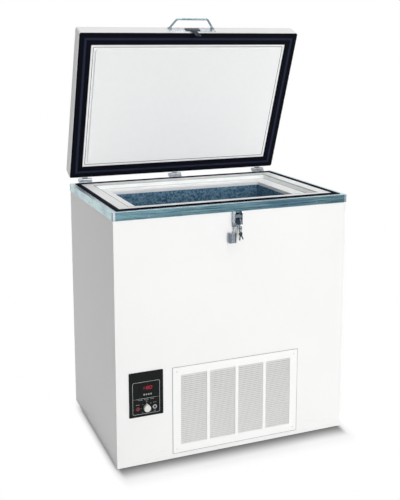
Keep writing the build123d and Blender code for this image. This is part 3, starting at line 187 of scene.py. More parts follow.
def louvre_enamel():
    """The grille's enamel: clean on its face, and darker deeper between the louvres with painted shade and
    some dust.
    """
    finish = Finish("louvre_enamel")
    where = finish.place()
    peel = finish.noise(where, 420, 2)
    cloud = finish.noise(where, 30, 4)
    # Painted shade with some dust: the colour darkens deeper between the louvres, where shade falls.
    depth = finish.band(finish.axis("Y"), -0.3410, -0.3396)
    shade_and_dust = depth * (0.62 + cloud * 0.2)
    return finish.set(
        Base_Color=finish.blend(shade_and_dust, paint(247, 247, 246), paint(70, 71, 70)),
        Roughness=0.32 + shade_and_dust * 0.4,
        Coat_Weight=0.2,
        Coat_Roughness=0.12,
        Normal=finish.bump(peel, 0.12, 0.0004),
    )


def white_moulding():
    """Satin vacuum-formed plastic with a fine even grain, and painted shade along its top edge and at the
    foot of its step.
    """
    finish = Finish("white_moulding")
    where = finish.place()
    grain = finish.noise(where, 900, 3)
    cloud = finish.noise(where, 3.5, 2)
    tone = finish.blend(cloud, paint(241, 242, 242), paint(248, 248, 247))
    height = finish.axis("Z")
    # Painted shade: thin teal-grey bands along the collar's top edge and at the foot of its step, where
    # shade falls.
    shade_mottle = finish.noise(where, 24, 3)
    edge = finish.band(height, 1.0352, 1.0388) * finish.band(height, 1.0392, 1.0398, 1.0, 0.0)
    foot = finish.band(height, 1.0186, 1.0192) * finish.band(height, 1.0196, 1.0225, 1.0, 0.0)
    painted_step_shade = (edge * 0.75 + foot * 0.6) * (0.75 + shade_mottle * 0.5)
    return finish.set(
        Base_Color=finish.blend(painted_step_shade, tone, paint(122, 150, 150)),
        Roughness=0.42 + cloud * 0.12,
        Normal=finish.bump(grain, 0.1, 0.0003),
    )


def brushed_rim(name, stretch, run, corner, dark, light, painted_end_tone):
    """Brushed stainless with a cold blue tone, grained along the run, with a painted highlight on its top
    and the end tone painted at its mitred ends.
    """
    finish = Finish(name)
    streak = finish.noise(finish.place(stretch), 1.0, 5, 0.65)
    cloud = finish.noise(finish.place(), 5.0, 3)
    shade = finish.band(streak, 0.3, 0.7)
    steel = finish.blend(shade, dark, light)
    steel = finish.blend(finish.band(cloud, 0.4, 0.7) * 0.6, steel, paint(92, 130, 158))
    # Painted highlight: the top of the band is painted lighter.
    top_highlight = finish.band(finish.axis("Z"), 1.0388, 1.0398)
    steel = finish.blend(top_highlight * 0.75, steel, paint(212, 228, 234))
    # Painted light at the mitred ends: the end tone is a painted highlight on the front and rear rims and
    # painted shade on the side rims.
    reach = finish.node("ShaderNodeMath", {"operation": "ABSOLUTE"}, {0: finish.axis(run)})
    painted_end = finish.band(reach, corner - 0.012, corner - 0.009) * (1 - top_highlight)
    return finish.set(
        Base_Color=finish.blend(painted_end * 0.85, steel, painted_end_tone),
        Metallic=0.95,
        Roughness=0.2 + shade * 0.12 + cloud * 0.08,
        Normal=finish.bump(streak, 0.12, 0.0003),
    )


def spangled_zinc():
    """Galvanised sheet: angular crystals that differ in tone and gloss."""
    finish = Finish("spangled_zinc")
    where = finish.place()
    warp = finish.node(
        "ShaderNodeTexNoise", sockets={"Vector": where, "Scale": 40.0, "Detail": 2.0}, output=1
    )
    shift = finish.node("ShaderNodeVectorMath", {"operation": "SCALE"}, {0: warp, "Scale": 0.012})
    bent = finish.node("ShaderNodeVectorMath", {"operation": "ADD"}, {0: where, 1: shift})
    cells = finish.node(
        "ShaderNodeTexVoronoi", {"feature": "F1"}, {"Vector": bent, "Scale": 135.0}, output="Color"
    )
    crystal = finish.node("ShaderNodeSeparateColor", sockets={0: cells}, output=0)
    fine = finish.noise(where, 320, 3)
    cloud = finish.noise(where, 6.0, 2)
    tone = crystal * 0.52 + fine * 0.26 + cloud * 0.22
    return finish.set(
        Base_Color=finish.blend(finish.band(tone, 0.15, 0.85), paint(53, 91, 120), paint(126, 164, 187)),
        Metallic=0.55,
        Roughness=0.36 + crystal * 0.16,
        Normal=finish.bump(tone, 0.1, 0.0004),
    )


def black_rubber(name, light, dark, gloss):
    """Matt elastomer, nearly black with a cold cast and a little bloom."""
    finish = Finish(name)
    where = finish.place()
    bloom = finish.noise(where, 14, 4)
    grain = finish.noise(where, 800, 2)
    return finish.set(
        Base_Color=finish.blend(bloom, dark, light),
        Roughness=0.55 + bloom * 0.2,
        Specular_IOR_Level=gloss,
        Normal=finish.bump(grain, 0.2, 0.0003),
    )


def ridged_rubber():
    """The lid gasket's rubber: nearly black, with a painted highlight paler on the crest of its ridge."""
    finish = Finish("black_ridged_rubber")
    where = finish.place()
    bloom = finish.noise(where, 14, 4)
    grain = finish.noise(where, 800, 2)
    height = finish.axis("Y") * lid_up.y + finish.axis("Z") * lid_up.z - lid_up.dot(lid_frame.translation)
    # Painted highlight: the crest of the ridge is painted paler.
    crest_highlight = finish.band(height, -0.0051, -0.0044, 1.0, 0.0)
    tone = finish.blend(bloom, paint(3, 4, 10), paint(9, 11, 22))
    return finish.set(
        Base_Color=finish.blend(crest_highlight * (0.7 + bloom * 0.3), tone, paint(38, 44, 64)),
        Roughness=0.55 + bloom * 0.2,
        Specular_IOR_Level=0.08,
        Normal=finish.bump(grain, 0.2, 0.0003),
    )


def bright_plating(name, light, dark, rough):
    """Polished or plated metal with handling marks."""
    finish = Finish(name)
    where = finish.place()
    smear = finish.noise(where, 55, 4, 0.6)
    line = finish.noise(finish.place((60, 900, 900)), 1.0, 3)
    return finish.set(
        Base_Color=finish.blend(finish.band(smear, 0.35, 0.75), light, dark),
        Metallic=1.0,
        Roughness=rough + smear * 0.12 + line * 0.05,
        Normal=finish.bump(line, 0.05, 0.0002),
    )


def brushed_metal(name, light, dark, stretch, rough):
    """Metal with a directional grain."""
    finish = Finish(name)
    streak = finish.noise(finish.place(stretch), 1.0, 4, 0.6)
    cloud = finish.noise(finish.place(), 30, 3)
    shade = finish.band(streak, 0.3, 0.7) * 0.7 + cloud * 0.3
    return finish.set(
        Base_Color=finish.blend(shade, dark, light),
        Metallic=0.95,
        Roughness=rough + shade * 0.15,
        Normal=finish.bump(streak, 0.15, 0.0003),
    )


def padlock_finish():
    """Brushed steel with a painted highlight down the middle and painted shade along one edge."""
    finish = Finish("brushed_padlock_steel")
    streak = finish.noise(finish.place((900, 900, 25)), 1.0, 4, 0.6)
    cloud = finish.noise(finish.place(), 90, 3)
    across = finish.axis("X") + 0.021
    # Painted highlight: a lighter band down the middle of the body.
    middle_highlight = finish.band(across, -0.009, -0.004) * finish.band(across, 0.005, 0.010, 1.0, 0.0)
    shade = finish.band(streak, 0.3, 0.7) * 0.2 + cloud * 0.15 + middle_highlight * 0.65
    # Painted shade: one edge is painted dark.
    edge = finish.band(across, 0.0088, 0.0108)
    steel = finish.blend(shade, paint(62, 88, 106), paint(222, 225, 236))
    return finish.set(
        Base_Color=finish.blend(edge * 0.8, steel, paint(28, 38, 48)),
        Metallic=0.95,
        Roughness=0.34 - middle_highlight * 0.12 + cloud * 0.06,
        Normal=finish.bump(streak, 0.15, 0.0003),
    )


def lever_finish():
    """Dark plated steel with painted highlights round the lever's neck and down one side of its tail."""
    finish = Finish("lever_steel_painted_highlights")
    smear = finish.noise(finish.place(), 55, 4, 0.6)
    height = finish.axis("Z")
    across = finish.axis("X")
    # Painted highlights: lighter round the lever's neck and down one side of its tail.
    neck_highlight = finish.band(height, 0.984, 0.987) * finish.band(height, 0.998, 1.0, 1.0, 0.0)
    side = finish.band(across, 0.0035, 0.006) * finish.band(across, 0.0095, 0.012, 1.0, 0.0)
    steel = finish.blend(smear, paint(58, 66, 76), paint(26, 32, 42))
    return finish.set(
        Base_Color=finish.blend(neck_highlight * 0.8 + side * (1 - neck_highlight) * 0.4, steel, paint(176, 190, 198)),
        Metallic=1.0,
        Roughness=0.24 + smear * 0.12,
    )


def moulded(name, light, dark, rough, grain_size=700, coat=0.0, gloss=0.5):
    """Moulded plastic or sprayed enamel with a fine grain and a slight change of tone."""
    finish = Finish(name)
    where = finish.place()
    grain = finish.noise(where, grain_size, 3)
    cloud = finish.noise(where, 40, 3)
    return finish.set(
        Base_Color=finish.blend(cloud, dark, light),
        Roughness=rough + cloud * 0.12,
        Coat_Weight=coat,
        Coat_Roughness=0.1,
        Specular_IOR_Level=gloss,
        Normal=finish.bump(grain, 0.12, 0.0003),
    )


def lit(name, bright, dull, strength):
    """A lit lamp or display face that glows a little unevenly."""
    finish = Finish(name)
    glow = finish.noise(finish.place(), 240, 2)
    tone = finish.blend(glow, dull, bright)
    return finish.set(Base_Color=tone, Roughness=0.35, Emission_Color=tone, Emission_Strength=strength)


def rigid_foam():
    """Poured foam: small cells and a skin that yellows in patches."""
    finish = Finish("rigid_foam")
    where = finish.place()
    cells = finish.node("ShaderNodeTexVoronoi", sockets={"Vector": where, "Scale": 600.0}, output="Distance")
    cloud = finish.noise(where, 9, 4)
    return finish.set(
        Base_Color=finish.blend(cloud, paint(226, 208, 160), paint(204, 178, 120)),
        Roughness=0.85,
        Normal=finish.bump(cells, 0.4, 0.0006),
    )


enamel = white_enamel()
louvres = louvre_enamel()
collar_moulding = white_moulding()
lid_moulding = moulded("white_lid_moulding", paint(248, 249, 249), paint(244, 245, 245), 0.42, 900)
# The side rims are a lighter copy of the front and rear rims' steel, painted lighter for the light that
# falls on them; each last colour is the painted end tone, a highlight on the front and rear rims and shade
# on the side rims.
rim_across = brushed_rim(
    "brushed_rim_across", (7, 520, 520), "X", rim_side,
    paint(84, 130, 144), paint(154, 192, 198), paint(226, 238, 242),
)
painted_lighter_rim_along = brushed_rim(
    "brushed_rim_along", (520, 7, 520), "Y", rim_front,
    paint(140, 176, 182), paint(210, 230, 230), paint(34, 54, 62),
)
zinc = spangled_zinc()
rubber = black_rubber("black_rubber", paint(13, 15, 28), paint(4, 5, 12), 0.15)
gasket_rubber = ridged_rubber()
seal_rubber = black_rubber("navy_black_seal_rubber", paint(9, 15, 34), paint(2, 5, 15), 0.03)
chrome = bright_plating("polished_chrome", paint(204, 208, 212), paint(170, 176, 182), 0.1)
handle_steel = bright_plating("polished_handle_steel", paint(150, 168, 174), paint(112, 132, 140), 0.14)
latch_steel = bright_plating("plated_latch_steel", paint(206, 212, 217), paint(160, 170, 178), 0.16)
lever_steel = lever_finish()
plug_steel = bright_plating("dark_plug_steel", paint(58, 66, 76), paint(30, 36, 46), 0.24)
screw_zinc = bright_plating("bright_zinc_screw", paint(176, 180, 184), paint(140, 144, 150), 0.22)
painted_screw = moulded("white_painted_screw", paint(236, 236, 234), paint(220, 220, 218), 0.35, 500, 0.2)
hinge_plate = bright_plating("plated_hinge_steel", paint(190, 193, 197), paint(150, 153, 158), 0.26)
strike_steel = bright_plating("dark_strike_steel", paint(40, 46, 60), paint(24, 29, 40), 0.3)
key_steel = bright_plating("key_steel", paint(58, 86, 90), paint(34, 58, 64), 0.26)
padlock_steel = padlock_finish()
fin_aluminium = brushed_metal(
    "fin_aluminium", paint(200, 202, 204), paint(160, 163, 166), (30, 700, 700), 0.3
)
drawn_copper = bright_plating("drawn_copper", paint(206, 140, 104), paint(160, 96, 66), 0.25)
compressor_enamel = moulded("black_compressor_enamel", paint(46, 46, 48), paint(30, 30, 32), 0.3, 300, 0.3)
grey_enamel = moulded("grey_enamel", paint(166, 170, 172), paint(148, 152, 155), 0.4, 400)
black_face = moulded("satin_black_face", paint(12, 16, 16), paint(6, 9, 9), 0.42, 900, gloss=0.18)
black_plastic = moulded("black_plastic", paint(38, 38, 40), paint(24, 24, 26), 0.45)
key_plastic = moulded("light_grey_keys", paint(164, 169, 166), paint(142, 148, 145), 0.4)
knob_plastic = moulded("white_knob", paint(226, 226, 222), paint(208, 208, 204), 0.24, 600, 0.4)
panel_ink = moulded("white_panel_ink", paint(206, 208, 208), paint(182, 184, 184), 0.5, 1200)
# Greys for thin lines of painted shade: at the collar's step, round the grille and round the lid's inner
# panel.
step_shade_grey = moulded("collar_step_shade_grey", paint(136, 158, 156), paint(112, 138, 138), 0.6, 700)
shade_line_grey = moulded("grey_shade_line", paint(118, 121, 120), paint(96, 99, 98), 0.7, 500)
lamp_red = lit("red_lamp", paint(128, 40, 46), paint(84, 20, 26), 0.08)
digit_red = lit("lit_red_segment", paint(216, 28, 68), paint(186, 16, 50), 0.75)
digit_off = moulded("unlit_segment", paint(70, 14, 16), paint(56, 10, 12), 0.3, 1200)
foam = rigid_foam()

dressed = {
    enamel: ("front_panel", "left_side_panel", "right_side_panel", "rear_panel", "lid_outer_pan"),
    louvres: ("grille",),
    collar_moulding: ("opening_collar",),
    lid_moulding: ("lid_inner_panel",),
    rim_across: ("rim_front", "rim_rear"),
    painted_lighter_rim_along: ("rim_left", "rim_right"),
    zinc: ("inner_tank", "base_pan", "machine_deck"),
    rubber: ("compressor_grommets",),
    gasket_rubber: ("lid_gasket",),
    seal_rubber: ("rim_strip",),
    foam: ("cabinet_insulation", "lid_insulation", "cascade_exchanger"),
    drawn_copper: ("evaporator_coil", "refrigerant_lines", "filter_driers"),
    compressor_enamel: ("first_stage_compressor", "second_stage_compressor", "fan_motor", "fan_shroud"),
    fin_aluminium: ("condenser", "fan_blade"),
    grey_enamel: ("electrical_box",),
    black_face: ("control_bezel", "temperature_display"),
    black_plastic: ("cord_gland",),
    key_plastic: ("display_key_1", "display_key_2", "display_key_3", "display_key_4"),
    lamp_red: ("alarm_lamp",),
    knob_plastic: ("set_knob",),
    chrome: ("handle_plate", "latch_pin", "padlock_shackle"),
    handle_steel: ("lid_handle",),
    latch_steel: ("latch_base",),
    lever_steel: ("latch_lever",),
    plug_steel: ("key_switch_plug",),
    padlock_steel: ("padlock_body",),
    key_steel: ("padlock_key_front", "padlock_key_rear", "key_ring"),
    strike_steel: ("lid_strike",),
    hinge_plate: ("lid_hinge_leaves", "cabinet_hinge_leaves", "hinge_pins", "key_switch_barrel"),
    screw_zinc: ("rim_screws", "latch_screws"),
    painted_screw: ("grille_screws",),
}
for finish_material, names in dressed.items():
    for name in names:
        faces = solids[name].data.materials
        if len(faces) == 0:
            faces.append(finish_material)
        for index in range(len(faces)):
            faces[index] = finish_material


def settle(name, mesh, material, body, stands_for=()):
    """Puts a finished mesh in the scene as a piece that rides on a body."""
    if not mesh.materials:
        mesh.materials.append(material)
    piece = bpy.data.objects.new(name, mesh)
    scene.collection.objects.link(piece)
    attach(piece, body)
    if stands_for:
        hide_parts(*stands_for)


def eased(name, node, body, width):
    """A copy of a solid with its sharp edges rounded over, as bent and deburred sheet is."""
    weld_reach, flat_turn, sharp_turn = 0.00001, math.radians(1), math.radians(35)
    mesh = solids[node].data.copy()
    shape = bmesh.new()
    shape.from_mesh(mesh)
    bmesh.ops.remove_doubles(shape, verts=shape.verts, dist=weld_reach)
    bmesh.ops.dissolve_limit(
        shape, angle_limit=flat_turn, verts=shape.verts, edges=shape.edges, delimit={"NORMAL"}
    )
    sharp = [
        edge for edge in shape.edges
        if len(edge.link_faces) == 2 and edge.calc_face_angle(0.0) > sharp_turn
    ]
    bmesh.ops.bevel(
        shape, geom=sharp, offset=width, segments=2, profile=0.5, affect="EDGES", clamp_overlap=True
    )
    shape.to_mesh(mesh)
    shape.free()
    mesh.name = name
    settle(name, mesh, mesh.materials[0], body, (node,))


class Tree:
    """A Geometry Nodes tree with named size inputs."""

    def __init__(self, name, sizes):
        self.tree = bpy.data.node_groups.new(name, "GeometryNodeTree")
        sockets = self.tree.interface
        sockets.new_socket("Geometry", in_out="INPUT", socket_type="NodeSocketGeometry")
        self.keys = {}
        kinds = [(size, "NodeSocketFloat") for size in sizes] + [("Finish", "NodeSocketMaterial")]
        for key, kind in kinds:
            self.keys[key] = sockets.new_socket(key, in_out="INPUT", socket_type=kind).identifier
        sockets.new_socket("Geometry", in_out="OUTPUT", socket_type="NodeSocketGeometry")
        self.given = self.tree.nodes.new("NodeGroupInput").outputs
        self.result = self.tree.nodes.new("NodeGroupOutput").inputs

    def node(self, kind, settings=None, sockets=None, output=0):
        made = self.tree.nodes.new(kind)
        for name, setting in (settings or {}).items():
            setattr(made, name, setting)
        for key, value in (sockets or {}).items():
            if isinstance(value, bpy.types.NodeSocket):
                self.tree.links.new(value, made.inputs[key])
            else:
                made.inputs[key].default_value = value
        return made.outputs[output]

    def sum(self, operation, first, second):
        return self.node("ShaderNodeMath", {"operation": operation}, {0: first, 1: second})

    def size(self, x, y, z):
        return self.node("ShaderNodeCombineXYZ", sockets={0: x, 1: y, 2: z})

    def close(self, geometry):
        """Ends the tree: instances made real, then the finish."""
        real = self.node("GeometryNodeRealizeInstances", sockets={"Geometry": geometry})
        coated = self.node(
            "GeometryNodeSetMaterial", sockets={"Geometry": real, "Material": self.given["Finish"]}
        )
        self.tree.links.new(coated, self.result[0])

    def run(self, name, points, sizes, material):
        """Runs the tree on points, each a place with named attributes, and returns a plain mesh."""
        seeds = bpy.data.meshes.new(name + "_points")
        seeds.from_pydata([point["at"] for point in points], [], [])
        for key, kind in (("facing", "FLOAT_VECTOR"), ("turn", "FLOAT")):
            if key in points[0]:
                attribute = seeds.attributes.new(key, kind, "POINT")
                for item, point in zip(attribute.data, points):
                    if kind == "FLOAT":
                        item.value = point[key]
                    else:
                        item.vector = point[key]
        holder = bpy.data.objects.new(name + "_points", seeds)
        scene.collection.objects.link(holder)
        modifier = holder.modifiers.new("make", "NODES")
        modifier.node_group = self.tree
        for key, value in sizes.items():
            modifier[self.keys[key]] = value
        modifier[self.keys["Finish"]] = material
        graph = bpy.context.evaluated_depsgraph_get()
        mesh = bpy.data.meshes.new_from_object(holder.evaluated_get(graph))
        mesh.name = name
        bpy.data.objects.remove(holder)
        return mesh


def screw_tree():
    """Cross-recessed pan heads, each standing on its point along its facing with a turn of its own."""
    tree = Tree("screw_heads", ("Head radius", "Head height"))
    radius, height = tree.given["Head radius"], tree.given["Head height"]
    skirt = tree.node(
        "GeometryNodeMeshCone",
        {"fill_type": "NGON"},
        {
            "Vertices": 20,
            "Radius Top": tree.sum("MULTIPLY", radius, 0.72),
            "Radius Bottom": radius,
            "Depth": height,
        },
    )
    slot_width = tree.sum("MULTIPLY", radius, 0.26)
    slot_length = tree.sum("MULTIPLY", radius, 1.05)
    head = skirt
    for across, along in ((slot_width, slot_length), (slot_length, slot_width)):
        block = tree.node("GeometryNodeMeshCube", sockets={"Size": tree.size(across, along, height)})
        raised = tree.node(
            "GeometryNodeTransform", sockets={"Geometry": block, "Translation": tree.size(0.0, 0.0, height)}
        )
        head = tree.node(
            "GeometryNodeMeshBoolean",
            {"operation": "DIFFERENCE", "solver": "EXACT"},
            {"Mesh 1": head, "Mesh 2": raised},
        )
    facing = tree.node("GeometryNodeInputNamedAttribute", {"data_type": "FLOAT_VECTOR"}, {"Name": "facing"})
    stand = tree.node("FunctionNodeAlignRotationToVector", {"axis": "Z"}, {"Vector": facing})
    angle = tree.node(
        "FunctionNodeRandomValue", {"data_type": "FLOAT"}, {3: math.pi / 2, "Seed": 11}, output=1
    )
    twist = tree.node("FunctionNodeAxisAngleToRotation", sockets={"Axis": (0.0, 0.0, 1.0), "Angle": angle})
    turned = tree.node(
        "FunctionNodeRotateRotation", {"rotation_space": "LOCAL"}, {"Rotation": stand, "Rotate By": twist}
    )
    heads = tree.node(
        "GeometryNodeInstanceOnPoints",
        sockets={"Points": tree.given["Geometry"], "Instance": head, "Rotation": turned},
    )
    tree.close(heads)
    return tree


def bar_tree():
    """Pointed flat bars, one on each point with its own turn: printed marks and display segments."""
    tree = Tree("flat_bars", ("Length", "Width", "Height"))
    length, width, height = (tree.given[key] for key in ("Length", "Width", "Height"))
    prism = tree.node(
        "GeometryNodeMeshCylinder",
        {"fill_type": "NGON"},
        {"Vertices": 6, "Radius": 0.5, "Depth": 1.0},
    )
    bar = tree.node(
        "GeometryNodeTransform", sockets={"Geometry": prism, "Scale": tree.size(length, width, height)}
    )
    turn = tree.node("GeometryNodeInputNamedAttribute", {"data_type": "FLOAT"}, {"Name": "turn"})
    bars = tree.node(
        "GeometryNodeInstanceOnPoints",
        sockets={"Points": tree.given["Geometry"], "Instance": bar, "Rotation": tree.size(0.0, 0.0, turn)},
    )
    tree.close(bars)
    return tree


for node, body, slot, width in (
    ("rim_front", "cabinet", "rim_steel", 0.0009),
    ("rim_rear", "cabinet", "rim_steel", 0.0009),
    ("rim_left", "cabinet", "rim_steel", 0.0009),
    ("rim_right", "cabinet", "rim_steel", 0.0009),
    ("front_panel", "cabinet", "white_paint", 0.0006),
    ("left_side_panel", "cabinet", "white_paint", 0.0006),
    ("right_side_panel", "cabinet", "white_paint", 0.0006),
    ("rear_panel", "cabinet", "white_paint", 0.0006),
    ("opening_collar", "cabinet", "white_plastic", 0.0012),
    ("control_bezel", "cabinet", "black_plastic", 0.0008),
    ("handle_plate", "lid", "chrome", 0.0008),
    ("lid_strike", "lid", "black_paint", 0.0005),
    ("latch_lever", "latch_lever", "chrome", 0.0006),
):
    eased(node + "_eased", node, body, width)

screws = screw_tree()
bars = bar_tree()

# Screw heads on the rim, the grille, the latch plate, the hinges and the rear panel
front, rear, left, right = (0, -1, 0), (0, 1, 0), (-1, 0, 0), (1, 0, 0)


def facing(direction, places):
    """Screw places that all look the same way."""
    return [{"at": tuple(place), "facing": direction} for place in places]


rim_screw_z = 1.016
across, along = (-0.365, 0.365), (-0.23, 0, 0.23)
rim_places = facing(front, [(x, -rim_front, rim_screw_z) for x in across])
rim_places += facing(rear, [(x, rim_front, rim_screw_z) for x in across])
rim_places += facing(left, [(-rim_side, y, rim_screw_z) for y in along])
rim_places += facing(right, [(rim_side, y, rim_screw_z) for y in along])
grille_places = facing(
    front,
    [(grille_x + x, -grille_face, grille_z + z) for x in (-0.264, 0.264) for z in (-0.16575, 0.16575)],
)
latch_places = facing(front, [(x, -0.348, z) for x in (-0.0145, 0.0145) for z in (0.950, 0.960)])
hinge_columns = [place + side for place in (-0.435, 0, 0.435) for side in (-0.02, 0.02)]
lid_rear = tuple(lid_frame.to_3x3() @ Vector(rear))
lid_leaf_places = facing(lid_rear, [lid_frame @ Vector((x, -0.011, 0.027)) for x in hinge_columns])
cabinet_leaf_places = facing(rear, [(x, 0.35, 1.0235) for x in hinge_columns])
rear_places = facing(
    rear, [(x, panel_face, z) for x in (-0.494, 0.494) for z in (0.05, 0.28, 0.51, 0.74, 0.97)]
)
panel_screw = {"Head radius": 0.004, "Head height": 0.0018}
latch_screw = {"Head radius": 0.0022, "Head height": 0.0016}
hinge_screw = {"Head radius": 0.0034, "Head height": 0.0014}
for name, places, sizes, coat, body, stands_for in (
    ("rim_screw_heads", rim_places, panel_screw, screw_zinc, "cabinet", ("rim_screws",)),
    ("grille_screw_heads", grille_places, panel_screw, painted_screw, "cabinet", ("grille_screws",)),
    ("latch_screw_heads", latch_places, latch_screw, screw_zinc, "cabinet", ("latch_screws",)),
    ("lid_hinge_screw_heads", lid_leaf_places, hinge_screw, screw_zinc, "lid", ()),
    ("cabinet_hinge_screw_heads", cabinet_leaf_places, hinge_screw, screw_zinc, "cabinet", ()),
    ("rear_panel_screw_heads", rear_places, panel_screw, screw_zinc, "cabinet", ()),
):
    settle(name, screws.run(name, places, sizes, coat), coat, body, stands_for)

# Thin sections carried round rectangles: grey lines of painted shade, gasket, seal and the control panel's
# outline


def rounded_loop(half_x, half_y, corner, steps=6):
    """Points round a rectangle with rounded corners, counter-clockwise."""
    loop = []
    for index, (sx, sy) in enumerate(((1, 1), (-1, 1), (-1, -1), (1, -1))):
        for step in range(steps + 1):
            angle = math.radians(90 * index + 90 * step / steps)
            loop.append(
                (
                    sx * (half_x - corner) + corner * math.cos(angle),
                    sy * (half_y - corner) + corner * math.sin(angle),
                )
            )
    return loop


def profile_round(name, half_x, half_y, corner, profile, where):
    """A closed section carried round a rounded rectangle; the section is (inset, height) pairs."""
    mesh = bpy.data.meshes.new(name)
    shape = bmesh.new()
    rings = []
    for inset, height in profile:
        loop = rounded_loop(half_x - inset, half_y - inset, max(corner - inset, 0.0002))
        rings.append([shape.verts.new(where @ Vector((x, y, height))) for x, y in loop])
    for first, second in zip(rings, rings[1:] + rings[:1]):
        for index in range(len(first)):
            after = (index + 1) % len(first)
            shape.faces.new((first[index], first[after], second[after], second[index]))
    bmesh.ops.recalc_face_normals(shape, faces=shape.faces)
    shape.to_mesh(mesh)
    shape.free()
    return mesh


def strip(width, base, crown):
    """The section of a flat strip."""
    return [(0, base), (0, crown), (width, crown), (width, base)]


# A thin grey bead round the grille's frame: sealant with painted shadow where the frame stands proud of the
# panel.
grille_edge_frame = front_frame @ Matrix.Translation((grille_x, grille_z, panel_face))
grille_edge_shade = profile_round(
    "grille_edge_shade", 0.2827, 0.1844, 0.0018,
    [(0, -0.0002), (0, 0.0004), (0.0018, 0.0006), (0.0018, -0.0002)], grille_edge_frame,
)
settle("grille_edge_shade", grille_edge_shade, shade_line_grey, "cabinet")

gasket_section = [
    (0.0004, -0.0006), (0.0, -0.0025), (0.002, -0.0039), (0.0135, -0.0039),
    (0.016, -0.0030), (0.0185, -0.0037), (0.0215, -0.0046), (0.0243, -0.0054),
    (0.0297, -0.0054), (0.0325, -0.0046), (0.0355, -0.0037), (0.038, -0.0030),
    (0.0405, -0.0039), (0.052, -0.0039), (0.054, -0.0025), (0.0536, -0.0006),
]
gasket = profile_round("ribbed_gasket", 0.5075, 0.345, 0.008, gasket_section, lid_middle)
settle("ribbed_gasket", gasket, gasket_rubber, "lid", ("lid_gasket",))

# A thin grey line round the lid's inner panel: painted shade standing in for the shade at its raised field's
# edge.
panel_line = profile_round(
    "lid_panel_line", 0.4445, 0.2820, 0.006, strip(0.0024, -0.0003, -0.0007), lid_middle
)
settle("lid_panel_line", panel_line, shade_line_grey, "lid")

# The seal sits in its groove, with a broad thin lip over the rim and a short one over the collar
seal_section = [
    (0.0078, 1.0370), (0.0078, 1.0401), (0.0002, 1.0401), (0.0, 1.0408), (0.0006, 1.0420),
    (0.0063, 1.0430), (0.0081, 1.0442), (0.0091, 1.0445), (0.0180, 1.0445), (0.0190, 1.0442),
    (0.0198, 1.0430), (0.0216, 1.0412), (0.0218, 1.0401), (0.0198, 1.0401), (0.0198, 1.0370),
]
seal = profile_round("lipped_rim_seal", 0.4910, 0.3285, 0.004, seal_section, Matrix.Identity(4))
settle("lipped_rim_seal", seal, seal_rubber, "cabinet", ("rim_strip",))

# A thin grey strip on the collar at its step: painted shade of the step.
step_line = profile_round(
    "collar_step_line", 0.4219, 0.2594, 0.0015,
    strip(0.0026, -0.0002, 0.0002), Matrix.Translation((0, 0, rim_top)),
)
settle("collar_step_line", step_line, step_shade_grey, "cabinet")

outline_frame = front_frame @ Matrix.Translation((panel_x, panel_z, bezel_face))
outline = profile_round(
    "panel_outline", 0.0565, 0.067, 0.006, strip(0.0011, -0.0002, 0.0002), outline_frame
)
settle("panel_outline", outline, panel_ink, "cabinet")


# Control panel: its divider, plain dashes for words, the knob's scale and the red figures
def front_bars(name, places, size, ink, depth):
    """Lays flat bars on the front: places are x, z and a turn, the size is length, width and height."""
    points = [{"at": (x, z, 0), "turn": turn} for x, z, turn in places]
    mesh = bars.run(name, points, dict(zip(("Length", "Width", "Height"), size)), ink)
    mesh.transform(front_frame @ Matrix.Translation((0, 0, depth)))
    settle(name, mesh, ink, "cabinet")


ink_rise = 0.0004
divider_size, dash_size = (0.1126, 0.0012, ink_rise), (0.0038, 0.0016, ink_rise)
scale_size = (0.004, 0.0011, ink_rise)
front_bars("panel_divider", [(panel_x, 0.2825, 0)], divider_size, panel_ink, bezel_face)

row_start, row_step, row_z, row_gaps = -0.4175, 0.0052, 0.2772, (4, 9)
mark_places = [(row_start + row_step * step, row_z, 0) for step in range(13) if step not in row_gaps]
word_step = 0.0046
for x, z, count in ((-0.4207, 0.2585, 3), (knob_x, 0.2700, 2), (-0.3497, 0.2605, 3), (-0.3497, 0.2260, 2)):
    mark_places += [(x + word_step * (step - (count - 1) / 2), z, 0) for step in range(count)]
front_bars("panel_marks", mark_places, dash_size, panel_ink, bezel_face)

scale_radius = 0.0235
scale_places = []
for step in range(7):
    angle = math.radians(90 + 45 * (step - 3))
    scale_places.append(
        (knob_x + scale_radius * math.cos(angle), knob_z + scale_radius * math.sin(angle), angle)
    )
front_bars("knob_scale", scale_places, scale_size, panel_ink, bezel_face)

segment_places = {
    "a": (0, 1, 0), "b": (0.5, 0.5, 90), "c": (0.5, -0.5, 90), "d": (0, -1, 0),
    "e": (-0.5, -0.5, 90), "f": (-0.5, 0.5, 90), "g": (0, 0, 0),
}
figures = {"-": "g", "8": "abcdefg", "0": "abcdef"}
figure_x, figure_z, figure_step = -0.3795, 0.326, 0.0136
figure_width, figure_half_height = 0.0090, 0.0062
figure_slant, figure_lean = 0.08, 5
lit_places, dark_places = [], []
for index, figure in enumerate("-80"):
    centre_x = figure_x + (index - 1) * figure_step
    for segment, (x, z, turn) in segment_places.items():
        place = (
            centre_x + x * figure_width + (z * figure_half_height) * figure_slant,
            figure_z + z * figure_half_height,
            math.radians(turn - (figure_lean if turn else 0)),
        )
        (lit_places if segment in figures[figure] else dark_places).append(place)
segment_size = (0.0062, 0.0016, 0.0003)
window_floor = display_face - 0.0008
front_bars("lit_segments", lit_places, segment_size, digit_red, window_floor + 0.0002)
front_bars("unlit_segments", dark_places, segment_size, digit_off, window_floor + 0.0001)

# Light, floor and camera
scene.view_settings.view_transform = "Standard"
black, white = (0.0, 0.0, 0.0, 1.0), (1.0, 1.0, 1.0, 1.0)
room_grey = (0.2, 0.2, 0.2, 1.0)


def seen_directly(finish):
    """One for rays from the camera, or mirrored or passed on by metal and glass."""
    kinds = ("Is Camera Ray", "Is Glossy Ray", "Is Transmission Ray")
    rays = [finish.node("ShaderNodeLightPath", output=kind) for kind in kinds]
    return rays[0].math("MINIMUM", rays[0] + rays[1] + rays[2], 1.0)


